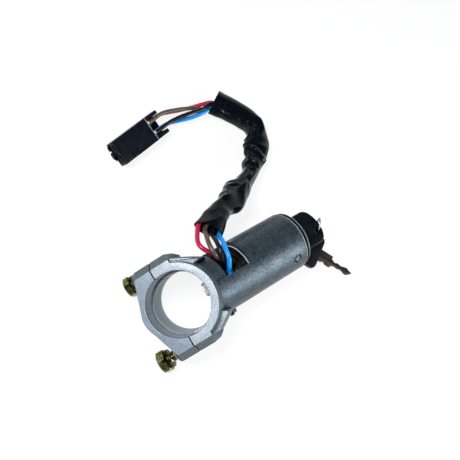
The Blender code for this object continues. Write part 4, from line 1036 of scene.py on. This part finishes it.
@dataclass(frozen=True)
class Switch(Assembly):
    """The contact switch that shows in the barrel's window."""

    shaft_hole: float = 2.9
    ribs: int = 4
    rib_pitch: float = 1.15

    def build(self) -> list[Piece]:
        """Build the moulding, its concentric ribs and the terminal tabs."""
        outer = INSERT_RADIUS
        profile = [(49.1, self.shaft_hole), (49.1, 11.3), (49.4, 11.6), (50.8, 11.6), (50.8, 13.3), (51.1, 13.6),
                   (52.6, 13.6), (52.6, outer - 0.3), (52.9, outer), (65.0, outer), (65.0, 11.7), (55.1, 11.7),
                   (55.1, self.shaft_hole)]
        body = self.piece(lathe("switch_moulding", profile, lock_frame(), 128, True, 40.0), BLACK_PLASTIC,
                          "switch_body", "black_plastic")
        pieces = [body, self.rib_rings()]
        pieces += [self.softened("terminal_" + colour, colour + "_terminal_tab", STAMPED_BRASS, 0.15, "brass")
                   for colour in WIRES]
        return pieces

    def rib_rings(self) -> Piece:
        """Lay concentric rounded ribs on the nose of the moulding with Geometry Nodes."""
        shape = RuleShape("switch_rib_rule", self.finishes.of(BLACK_PLASTIC))
        tree = shape.tree
        first = shape.size("First radius", 7.2)
        pitch = shape.size("Pitch", self.rib_pitch)
        line = add_node(tree, "GeometryNodeMeshLine", {"Count": shape.size("Count", self.ribs, "NodeSocketInt"),
                                                       "Offset": (0.0, 0.0, 0.0)})
        index = add_node(tree, "GeometryNodeInputIndex")
        grow = add_node(tree, "ShaderNodeMath", {0: index.outputs[0], 1: pitch, 2: first}, operation="MULTIPLY_ADD")
        scale = add_node(tree, "ShaderNodeCombineXYZ", {0: grow.outputs[0], 1: grow.outputs[0], 2: 1.0})
        ring = add_node(tree, "GeometryNodeCurvePrimitiveCircle", {"Resolution": 96, "Radius": 1.0})
        placed = add_node(tree, "GeometryNodeInstanceOnPoints", {"Points": line.outputs[0], "Instance": ring.outputs[0],
                                                                 "Scale": scale.outputs[0]})
        real = add_node(tree, "GeometryNodeRealizeInstances", {0: placed.outputs[0]})
        bead = add_node(tree, "GeometryNodeCurvePrimitiveCircle", {"Resolution": 8, "Radius": shape.size("Bead", 0.3)})
        swept = add_node(tree, "GeometryNodeCurveToMesh", {"Curve": real.outputs[0], "Profile Curve": bead.outputs[0]})
        turn = lock_frame() @ Matrix.Translation((49.1, 0.0, 0.0)) @ Z_TO_X
        return self.piece(shape.bake(swept.outputs[0], turn), None, "switch_body", "black_plastic",
                          name="switch_ribs")


# Keys


def key_frame() -> Matrix:
    """Return the frame of the key in the lock; X runs from the blade to the head."""
    return lock_frame() @ Matrix.Translation((102.6, 0.0, 0.0))


def spare_frame() -> Matrix:
    """Return the frame of the spare key on the table."""
    turn = Matrix.Rotation(math.radians(121.5), 4, "Z") @ Matrix.Rotation(math.radians(-9.0), 4, "Y")
    return Matrix.Translation(on_table((119.2, -18.6, REST_LIFT - 21.77))) @ turn @ Matrix.Scale(MM, 4)


@dataclass(frozen=True)
class Key(Assembly):
    """One key: milled blade and moulded head with grip pads."""

    prefix: str
    body: Body
    place: Matrix
    half_width: float = 12.7
    length: float = 23.4
    half_thickness: float = 2.8
    hole: tuple[float, float] = (18.6, -4.8)
    hole_radius: float = 2.2

    def build(self) -> list[Piece]:
        """Build the head, its two grip pads and the blade."""
        head = self.softened(self.prefix + "_head", self.prefix + "_grip", KEY_PLASTIC, 0.55, "key_plastic", 3,
                             self.body)
        blade = self.softened(self.prefix + "_blade", self.prefix + "_cut_blade", KEY_STEEL_PAINTED_SHADE, 0.18, "key_steel", 2,
                              self.body)
        grooves = [block("groove_%d" % index, (-25.0, low, z - 0.45), (-0.6, low + 1.3, z + 0.45), self.place)
                   for index, (low, z) in enumerate(((-0.3, 1.1), (-1.2, -1.1)))]
        carve(blade, grooves)
        return [head, self.pads(), blade]

    def pads(self) -> Piece:
        """Build the raised pads on both faces, with the hole left open."""
        half, far = self.half_width - 1.3, self.length - 1.6
        corners = [(7.4, -half, 1.4), (far - 5.4, -half, 2.0), (far - 2.0, -half + 3.2, 2.0),
                   (far - 0.4, -half + 8.0, 2.5), (far - 0.4, half - 12.0, 2.5), (far - 3.0, half - 3.4, 2.0),
                   (far - 8.2, half, 2.0), (7.4, half, 1.4)]
        outline = rounded(corners, 5)
        depth = self.half_thickness + 0.35
        mesh = plate(self.prefix + "_pads", [(-depth, outline), (depth, outline)], self.place, 0.3)
        pads = self.piece(mesh, KEY_PLASTIC, self.prefix + "_head", "key_plastic", self.body)
        turn = self.place @ Matrix.Translation((*self.hole, 0.0)) @ X_TO_Z
        hole = cutter(lathe("hole", [(-8.0, self.hole_radius), (8.0, self.hole_radius)], turn, 40))
        middle = self.half_thickness - 0.6
        core = block("core", (-20.0, -30.0, -middle), (40.0, 30.0, middle), self.place)
        carve(pads, [hole, core])
        return pads


@dataclass(frozen=True)
class WireLoop(Assembly):
    """The bent steel wire that joins both keys."""

    merge_distance: float = 2e-6
    joined_face: float = 1.0
    joined_shape: float = 3.1

    def build(self) -> list[Piece]:
        """Round the CAD loop's wire and dress it."""
        mesh = bpy.data.meshes.new("wire_loop")
        with edited(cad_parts["key_ring"].data, mesh) as bm:
            bmesh.ops.remove_doubles(bm, verts=bm.verts, dist=self.merge_distance)
            bmesh.ops.join_triangles(bm, faces=bm.faces, angle_face_threshold=self.joined_face,
                                     angle_shape_threshold=self.joined_shape)
        loop = self.piece(mesh, LOOP_STEEL, "key_ring", "steel", Body.RING)
        finer = loop.modifiers.new("finer", "SUBSURF")
        finer.levels = finer.render_levels = 1
        bake(loop, 70.0)
        return [loop]


# Harness, in table millimetres

SLEEVE_ROUTE = (
    (46.2, 30.3, 38.0, 5.8), (54.8, 35.3, 34.0, 6.2), (65.3, 40.0, 29.0, 6.6), (80.3, 43.7, 22.0, 6.8),
    (95.4, 50.9, 16.0, 6.8), (107.7, 57.2, 12.0, 6.8), (119.6, 64.9, 9.6, 6.8), (128.0, 76.0, 8.6, 6.8),
    (131.4, 90.0, 8.4, 6.8), (126.0, 104.0, 8.4, 6.6), (117.2, 117.6, 8.4, 6.4),
)
# Reach of the sleeve to its inner and outer side along its length
INNER_REACH = ((0.0, 10.0), (8.0, 8.2), (16.7, 7.0), (27.5, 6.6), (33.3, 9.4), (48.8, 10.2), (56.0, 6.0), (61.0, 5.6),
               (71.6, 5.6), (77.9, 8.4), (82.0, 8.2), (84.6, 7.2), (90.0, 9.6), (96.9, 11.4), (102.0, 8.6),
               (109.4, 5.8), (113.3, 5.4), (122.0, 7.2), (134.0, 8.5), (144.3, 9.6), (147.0, 9.8))
OUTER_REACH = ((0.0, 9.4), (4.9, 9.3), (13.9, 8.0), (22.8, 7.4), (37.4, 9.6), (46.3, 9.4), (62.2, 6.9), (76.4, 6.8),
               (89.3, 8.5), (101.5, 9.5), (113.8, 10.8), (121.5, 11.2), (130.3, 11.2), (139.4, 11.6), (147.0, 12.0))
# Sharp folds on the upper side: length along the sleeve and sideways place, with height and half width
FOLDS = (
    (1.5, 1.5, ((89.3, 10.5), (92.2, 8.0), (91.7, 4.6), (88.4, 0.9), (85.6, -2.7), (85.1, -6.5))),
    (0.9, 1.2, ((74.5, 6.5), (76.9, 5.0), (77.9, 0.4), (76.5, -3.0))),
    (1.1, 1.2, ((68.3, 2.9), (69.7, 0.1), (70.7, -2.4), (65.6, -2.6), (58.7, -2.6))),
    (1.0, 1.2, ((68.3, 2.9), (63.7, 0.2), (58.7, -2.6), (52.0, -4.5))),
    (1.2, 1.8, ((27.0, 3.4), (31.0, 2.2), (38.0, 2.2), (46.9, 0.4), (54.0, -2.5))),
    (0.9, 1.6, ((46.9, 0.4), (47.6, 3.2), (43.9, 7.3))),
    (1.1, 1.5, ((115.5, 6.4), (113.8, 3.8), (109.9, 1.6), (105.4, 0.6), (100.0, 3.0))),
    (1.3, 1.9, ((114.3, -8.0), (107.4, -6.3), (103.0, -2.1), (101.5, 1.4))),
    (1.1, 2.6, ((1.0, 3.5), (4.6, -0.9), (9.6, -4.3), (16.0, -4.8))),
    (0.8, 2.4, ((136.0, 7.0), (128.0, 4.0), (121.0, 5.2))),
)
# Values along the sleeve: slack of the vinyl, drop of its crown, flare and flatness of its sides, slant of its mouth
SLACK = ((0.0, 0.15), (14.0, 0.3), (24.0, 1.0), (104.0, 1.0), (116.0, 0.4), (128.0, 0.12), (147.0, 0.2))
CROWN_DROP = ((0.0, 0.9), (12.0, 0.2), (30.0, 0.0))
FLARE = ((0.0, 0.0), (132.0, 0.0), (147.0, 1.0))
FLATNESS = ((0.0, 1.15), (20.0, 1.0), (125.0, 1.0), (147.0, 1.2))
MOUTH_SLANT = ((0.0, 3.6), (11.0, 0.0))
DENT_SEED = Vector((3.1, 0.0, 7.7))
# Ways of the wires: out of the switch in lock millimetres, and from the sleeve to the connector
LEAD_IN = {
    "red": ((43.8, 13.0, 2.5), (40.5, 14.2, 6.5), (37.5, 16.0, 11.5), (35.6, 17.0, 14.8),
            (33.3, 18.0, 16.6), (30.9, 20.6, 17.4), (30.0, 24.6, 16.6), (32.2, 29.0, 14.6)),
    "brown": ((43.8, 10.5, 8.0), (40.2, 11.2, 11.5), (37.4, 11.2, 15.4), (35.3, 12.8, 18.6),
              (33.9, 15.8, 20.3), (34.6, 21.8, 19.6), (37.4, 27.0, 16.6)),
    "black": ((43.8, 5.8, 10.5), (40.8, 6.8, 13.8), (38.2, 8.0, 17.4), (37.2, 10.8, 20.2),
              (38.0, 15.4, 21.5), (40.1, 21.1, 19.0)),
    "blue": ((43.8, -8.4, 6.6), (42.2, -8.2, 10.4), (40.8, -6.2, 13.7), (39.6, -1.8, 14.25),
             (39.1, 1.4, 15.4), (38.8, 4.6, 20.0), (39.8, 8.8, 22.7), (41.6, 15.4, 21.9),
             (44.2, 20.6, 18.8)),
}
LEAD_OUT = {
    "red": ((109.8, 120.6, 7.4), (101.9, 122.6, 5.6), (91.0, 124.8, 5.4), (82.9, 126.4, 6.2)),
    "brown": ((109.6, 117.2, 5.4), (101.5, 120.0, 8.6), (95.0, 121.6, 10.0), (88.5, 123.2, 10.8)),
    "black": ((105.5, 115.4, 11.8), (94.9, 116.6, 11.4), (86.0, 117.6, 10.2)),
    "blue": ((105.6, 113.8, 8.6), (95.2, 115.1, 6.8), (86.5, 117.6, 5.2)),
}
WIRES = ("red", "brown", "black", "blue")
WIRE_DIAMETER = 3.0
BUNDLE_OFFSET = 2.75
BUNDLE_CORNERS = (315.0, 45.0, 225.0, 135.0)
BUNDLE_TWIST = math.radians(-135.0)
# Shares of the sleeve's length: the wires leave their row at the mouth, twist, and shift to the inner side
SPREAD_SHARE = 0.22
TWIST_FROM, TWIST_RUN = 0.2, 0.6
SHIFT_FROM, SHIFT_RUN = 0.8, 0.2
MOUTH_PITCH = 4.8
MOUTH_RUN = 4.0
INNER_SHIFT = 2.4
CONNECTOR_TILT = math.radians(21.8)
CONNECTOR_ENDS = ((72.17, 123.26), (31.33, 114.43))
CAVITY_OF = {"red": (-1.0, -1.0), "brown": (-1.0, 1.0), "black": (1.0, 1.0), "blue": (1.0, -1.0)}


def side_of(path: Sequence[Vector], index: int) -> Vector:
    """Return the level sideways direction of a path at one point."""
    ahead = path[min(index + 1, len(path) - 1)] - path[max(index - 1, 0)]
    return Vector((-ahead.y, ahead.x, 0.0)).normalized()


def connector_frame() -> Matrix:
    """Return the frame of the connector: along it, across it and up from its base."""
    start, end = (Vector(point) for point in CONNECTOR_ENDS)
    ahead = (end - start).normalized()
    turn = Matrix(((ahead.x, -ahead.y, 0.0, 0.0), (ahead.y, ahead.x, 0.0, 0.0), (0.0, 0.0, 1.0, 0.0),
                   (0.0, 0.0, 0.0, 1.0)))
    lift = Connector.half_width * math.sin(CONNECTOR_TILT) + 0.1
    place = Matrix.Translation(on_table((start.x, start.y, lift)))
    return place @ turn @ Matrix.Rotation(-CONNECTOR_TILT, 4, "X") @ Matrix.Scale(MM, 4)


@dataclass(frozen=True)
class Sleeve(Assembly):
    """The creased vinyl sleeve over the four wires."""

    stations: int = 300
    around: int = 88
    wall: float = 0.8
    mean_reach: float = 7.2
    fold_reach: float = 2.2
    fold_power: float = 1.6
    flare_rise: float = 0.5
    dent_size: float = 15.0
    dent_depth: float = 2.9
    puff: float = 0.5
    outer_clearance: float = 0.25
    inner_clearance: float = 0.9
    diameter: float = 0.0175
    length: float = 0.147

    def fold(self, along: float, across: float) -> float:
        """Return the height of the folds at a place on the upper side.

        Args:
            along: Length along the sleeve in millimetres.
            across: Sideways place in millimetres.

        Returns:
            The height in millimetres.
        """
        here = Vector((along, across))
        best = 0.0
        for height, half, line in FOLDS:
            for a, b in zip(line, line[1:]):
                first, run = Vector(a), Vector(b) - Vector(a)
                share = max(0.0, min(1.0, (here - first).dot(run) / run.length_squared))
                away = (here - first - run * share).length
                if away < half * self.fold_reach:
                    best = max(best, height * max(0.0, 1.0 - away / (half * self.fold_reach)) ** self.fold_power)
        return best

    def crumple(self, along: float, around: float) -> float:
        """Return the creased, cell-like dents of the slack vinyl.

        Args:
            along: Length along the sleeve in millimetres.
            around: Angle round the sleeve.

        Returns:
            The dent in millimetres, mostly inwards.
        """
        place = Vector((along * 0.9, self.mean_reach * math.cos(around), self.mean_reach * math.sin(around)))
        large = abs(noise.noise(place / self.dent_size + DENT_SEED))
        return between(SLACK, along) * (self.puff - self.dent_depth * large)

    def build(self) -> list[Piece]:
        """Skin the sleeve along its route, with open mouths and a wall."""
        centre = smooth_path([row[:3] for row in SLEEVE_ROUTE], self.stations)
        heights = smooth_path([(row[3], 0.0, 0.0) for row in SLEEVE_ROUTE], self.stations)
        travelled = [0.0]
        for a, b in zip(centre, centre[1:]):
            travelled.append(travelled[-1] + (b - a).length)
        outer, inner = [], []
        for index, point in enumerate(centre):
            along = travelled[index]
            side = side_of(centre, index)
            ahead = (centre[min(index + 1, len(centre) - 1)] - centre[max(index - 1, 0)]).normalized()
            rise = ahead.cross(side) * -1.0
            rise = rise if rise.z > 0 else rise * -1.0
            high = heights[index].x - between(CROWN_DROP, along)
            flare = between(FLARE, along)
            rings: tuple[list[Vector], list[Vector]] = ([], [])
            for step in range(self.around):
                angle = 2.0 * math.pi * step / self.around
                wide = between(INNER_REACH, along) if math.cos(angle) > 0 else between(OUTER_REACH, along)
                c, s = math.cos(angle), math.sin(angle)
                squeeze = abs(s) ** between(FLATNESS, along)
                across, up = wide * c, high * math.copysign(squeeze, s)
                away = Vector((c * high, s * wide)).normalized()
                push = self.crumple(along, angle)
                if s > 0.05:
                    push += self.fold(along, across) * min(1.0, s * 2.5)
                if s < -0.2:
                    push = min(push, 0.0)
                across, up = across + away.x * push, up + away.y * push + flare * self.flare_rise * max(0.0, s)
                lip = between(MOUTH_SLANT, along) * (0.72 + 0.3 * c)
                for ring, wall in zip(rings, (0.0, self.wall)):
                    offset = side * (across - away.x * wall) + rise * (up - away.y * wall) - ahead * lip
                    spot = point + offset
                    spot.z = max(spot.z, self.inner_clearance if wall else self.outer_clearance)
                    ring.append(on_table(spot))
            for rows, ring in zip((outer, inner), rings):
                rows.append(ring)
        mesh = skin("creased_sleeve", [*outer, *reversed(inner)], Matrix.Identity(4), True, 60.0)
        sleeve = self.piece(mesh, VINYL, "harness_sleeve", "black_vinyl")
        return [sleeve]


@dataclass(frozen=True)
class Wires(Assembly):
    """The four insulated wires from the switch to the connector."""

    points: int = 220
    dense_points: int = 700
    bundle_points: int = 34
    bundle_step: int = 3
    cavity: tuple[float, float] = (4.1, 2.4)
    cavity_height: float = 4.9
    cavity_run: tuple[float, float] = (-4.0, 8.7)

    def route(self, colour: str) -> list[Vector]:
        """Return the whole way of one wire in row metres."""
        first = LEAD_IN[colour][0]
        lead = (first, (first[0] - 1.5, first[1], first[2]), *LEAD_IN[colour][1:])
        way = [lock_frame() @ Vector(p) for p in lead]
        centre = smooth_path([row[:3] for row in SLEEVE_ROUTE], self.bundle_points)
        rank = WIRES.index(colour)
        last = len(centre) - 1
        for index in range(0, last + 1, self.bundle_step):
            share = index / last
            side = side_of(centre, index)
            spread = max(0.0, 1.0 - share / SPREAD_SHARE)
            turn = BUNDLE_TWIST * min(1.0, max(0.0, (share - TWIST_FROM) / TWIST_RUN))
            corner = math.radians(BUNDLE_CORNERS[rank]) + turn
            across = math.cos(corner) * BUNDLE_OFFSET * (1.0 - spread) + (1.5 - rank) * MOUTH_PITCH * spread
            across += INNER_SHIFT * max(0.0, share - SHIFT_FROM) / SHIFT_RUN
            height = math.sin(corner) * BUNDLE_OFFSET * math.sqrt(1.0 - spread)
            shift = side * across + Vector((0.0, 0.0, height))
            if index == 0:
                way.append(on_table(centre[0] + (centre[0] - centre[1]).normalized() * MOUTH_RUN + shift))
            way.append(on_table(centre[index] + shift))
        way += [on_table(p) for p in LEAD_OUT[colour]]
        column, row = CAVITY_OF[colour]
        across, rise = column * self.cavity[0], self.cavity_height + row * self.cavity[1]
        way += [connector_frame() @ Vector((s, across, rise)) for s in self.cavity_run]
        return even_path(smooth_path(way, self.dense_points), self.points)

    def build(self) -> list[Piece]:
        insulation = dict(zip(WIRES, (RED_PVC, BROWN_PVC, BLACK_PVC, BLUE_PVC)))
        pieces = []
        for colour in WIRES:
            curve = bpy.data.curves.new(colour + "_wire", "CURVE")
            curve.dimensions = "3D"
            curve.bevel_depth = WIRE_DIAMETER / 2.0 * MM
            curve.bevel_resolution = 5
            curve.use_fill_caps = True
            way = self.route(colour)
            spline = curve.splines.new("POLY")
            spline.points.add(len(way) - 1)
            for target, point in zip(spline.points, way):
                target.co = (*point, 1.0)
            wire = self.piece(curve, insulation[colour], "wire_" + colour, colour + "_insulation")
            pieces.append(wire)
        return pieces


@dataclass(frozen=True)
class Connector(Assembly):
    """The black connector housing with its collar rim, step and crimps."""

    half_width: float = 8.95
    top: float = 11.0
    wing: float = 11.5
    step: float = 33.8

    def build(self) -> list[Piece]:
        """Build the housing and its small mouldings."""
        place = connector_frame()
        housing = self.softened("connector_housing", "connector_shell", CONNECTOR_NYLON, 0.35, "black_plastic", 3)
        pieces = [housing, self.rim(place), self.shoulder(place)]
        for name, y in (("outer", -4.7), ("inner", 3.4)):
            outline = rounded([(9.3, y - 1.1, 0.3), (11.3, y - 0.9, 0.3), (11.3, y + 0.9, 0.3), (9.3, y + 1.1, 0.3)], 3)
            mesh = plate(name + "_crimp", [(6.6, outline), (9.7, outline)], place, 0.3)
            pieces.append(self.piece(mesh, TINNED_CRIMP, "connector_housing", "brass"))
        return pieces

    def rim(self, place: Matrix) -> Piece:
        """Build the thin rim on the edge above the mouth, painted pale as that edge's highlight."""
        half = self.half_width - 0.25
        near, far = self.wing - 0.05, self.wing + 0.5
        outline = rounded([(near, -half, 0.2), (far, -half, 0.2), (far, half, 0.2), (near, half, 0.2)], 3)
        mesh = plate("mouth_rim", [(self.top - 1.0, outline), (self.top + 0.1, outline)], place, 0.15)
        return self.piece(mesh, NYLON_PAINTED_HIGHLIGHT, "connector_housing", "black_plastic")

    def shoulder(self, place: Matrix) -> Piece:
        """Build the rounded shoulder across the top, broken in its middle."""
        sections = []
        count = 36
        for index in range(count + 1):
            y = -self.half_width + 0.4 + (2.0 * self.half_width - 0.8) * index / count
            notch = 1.0 - 0.75 * math.exp(-((y + 0.4) / 1.6) ** 2)
            end = min(1.0, (self.half_width - 0.4 - abs(y)) / 0.8 + 0.15)
            rise = 0.5 * notch * end
            profile = ((-5.2, -0.3), (-4.6, 0.02), (-3.2, 0.14 * rise), (-1.9, 0.55 * rise), (-0.9, 0.95 * rise),
                       (-0.3, 0.9 * rise), (0.05, 0.2 * rise), (0.05, -0.6))
            sections.append([(self.step + s, y, self.top + z) for s, z in profile])
        mesh = skin("step_shoulder", sections, place, False, 50.0)
        return self.piece(mesh, CONNECTOR_NYLON, "connector_housing", "black_plastic")


# Studio


def looked_at(tree: Tree) -> Socket:
    """Return 1 for rays that show the background: from the camera, a mirror or through glass."""
    rays = add_node(tree, "ShaderNodeLightPath")
    first = add_node(tree, "ShaderNodeMath", {0: rays.outputs["Is Camera Ray"], 1: rays.outputs["Is Glossy Ray"]},
                     operation="MAXIMUM")
    return add_node(tree, "ShaderNodeMath", {0: first.outputs[0], 1: rays.outputs["Is Transmission Ray"]},
                    operation="MAXIMUM").outputs[0]


@dataclass(frozen=True)
class Studio:
    """Camera, floor and soft light."""

    camera_mm: Point = (-168.525, -39.14, 399.57)
    forward: Point = (0.418, 0.164, -0.894)
    right: Point = (0.791, -0.550, 0.269)
    view_deg: float = 39.72
    ambient: float = 0.42
    ceiling: float = 0.06
    floor_glow: float = 0.86
    floor_half: float = 4.0
    floor_drop: float = -0.0004
    softboxes: tuple = (("key_softbox", (-260.0, 120.0, 520.0), (20.0, 20.0, 20.0), 160.0, 3.0),
                        ("fill_softbox", (270.0, -340.0, 210.0), (0.0, 0.0, 20.0), 260.0, 1.9))

    def build(self) -> None:
        """Add the camera, the floor, the world and the lights."""
        self.add_camera()
        self.add_floor()
        self.add_world()
        for softbox in self.softboxes:
            self.add_softbox(*softbox)

    def add_camera(self) -> None:
        """Add the camera at the photograph's place."""
        data = bpy.data.cameras.new("photo_camera")
        data.sensor_fit = "HORIZONTAL"
        data.angle_x = math.radians(self.view_deg)
        data.clip_start = 0.01
        data.clip_end = 20.0
        camera = link("photo_camera", data)
        back = -Vector(self.forward).normalized()
        up = back.cross(Vector(self.right)).normalized()
        right = up.cross(back).normalized()
        turn = Matrix((right, up, back)).transposed().to_4x4()
        camera.matrix_world = Matrix.Translation(Vector(self.camera_mm) * MM) @ turn
        bpy.context.scene.camera = camera

    def add_floor(self) -> None:
        """Add the pale floor."""
        mesh = bpy.data.meshes.new("studio_floor")
        half = self.floor_half
        mesh.from_pydata([(-half, -half, 0), (half, -half, 0), (half, half, 0), (-half, half, 0)], [], [(0, 1, 2, 3)])
        floor = link("studio_floor", mesh)
        floor.location.z = self.floor_drop
        mat = bpy.data.materials.new("pale_paper_floor")
        mat.use_nodes = True
        tree = mat.node_tree
        shader = tree.nodes["Principled BSDF"]
        fill(shader, {"Base Color": (0.93, 0.93, 0.93, 1.0), "Roughness": 0.95, "Specular IOR Level": 0.0})
        glow = add_node(tree, "ShaderNodeEmission", {"Color": (1.0, 1.0, 1.0, 1.0), "Strength": 1.0})
        share = add_node(tree, "ShaderNodeMath", {0: looked_at(tree), 1: self.floor_glow}, operation="MULTIPLY")
        both = add_node(tree, "ShaderNodeMixShader", {0: share.outputs[0], 1: shader.outputs[0], 2: glow.outputs[0]})
        fill(tree.nodes["Material Output"], {"Surface": both.outputs[0]})
        mesh.materials.append(mat)

    def add_world(self) -> None:
        """Light the scene from a white world."""
        world = bpy.data.worlds.new("white_studio")
        bpy.context.scene.world = world
        world.use_nodes = True
        tree = world.node_tree
        tree.nodes.clear()
        coords = add_node(tree, "ShaderNodeTexCoord")
        height = add_node(tree, "ShaderNodeSeparateXYZ", {0: coords.outputs["Generated"]}).outputs[2]
        overhead = ramp(tree, height, 0.1, 0.5, 1.0, self.ceiling)
        light = add_node(tree, "ShaderNodeBackground", {"Color": (0.93, 0.97, 1.0, 1.0), "Strength": self.ambient})
        seen = add_node(tree, "ShaderNodeBackground", {"Color": (1.0, 1.0, 1.0, 1.0), "Strength": overhead})
        both = add_node(tree, "ShaderNodeMixShader", {0: looked_at(tree), 1: light.outputs[0], 2: seen.outputs[0]})
        add_node(tree, "ShaderNodeOutputWorld", {"Surface": both.outputs[0]})
        bpy.context.scene.view_settings.view_transform = "Standard"

    def add_softbox(self, name: str, place: Point, aim: Point, size_mm: float, watts: float) -> None:
        """Add one square softbox that looks at a point."""
        data = bpy.data.lights.new(name, "AREA")
        data.size = size_mm * MM
        data.energy = watts
        lamp = link(name, data)
        where = Vector(place) * MM
        turn = (Vector(aim) * MM - where).to_track_quat("-Z", "Y").to_matrix().to_4x4()
        lamp.matrix_world = Matrix.Translation(where) @ turn


def main() -> None:
    """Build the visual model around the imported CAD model."""
    logging.basicConfig(level=logging.INFO, format="%(message)s")
    finishes = Finishes()
    Studio().build()
    finishes.dress_cad()
    log.info("dressed %d CAD nodes", sum(len(names.split()) for _, names in NODE_FINISHES))
    makers = (
        Wires(finishes), Sleeve(finishes), Connector(finishes), HousingClamp(finishes), CapClamp(finishes),
        Barrel(finishes), ClampFixings(finishes), LockInsert(finishes), Switch(finishes),
        Key(finishes, "key", Body.KEY, key_frame()), Key(finishes, "spare_key", Body.SPARE_KEY, spare_frame()),
        WireLoop(finishes),
    )
    for maker in makers:
        for piece in maker.build():
            log.info("%s: %s", type(maker).__name__, piece.name)


if __name__ == "__main__":
    main()
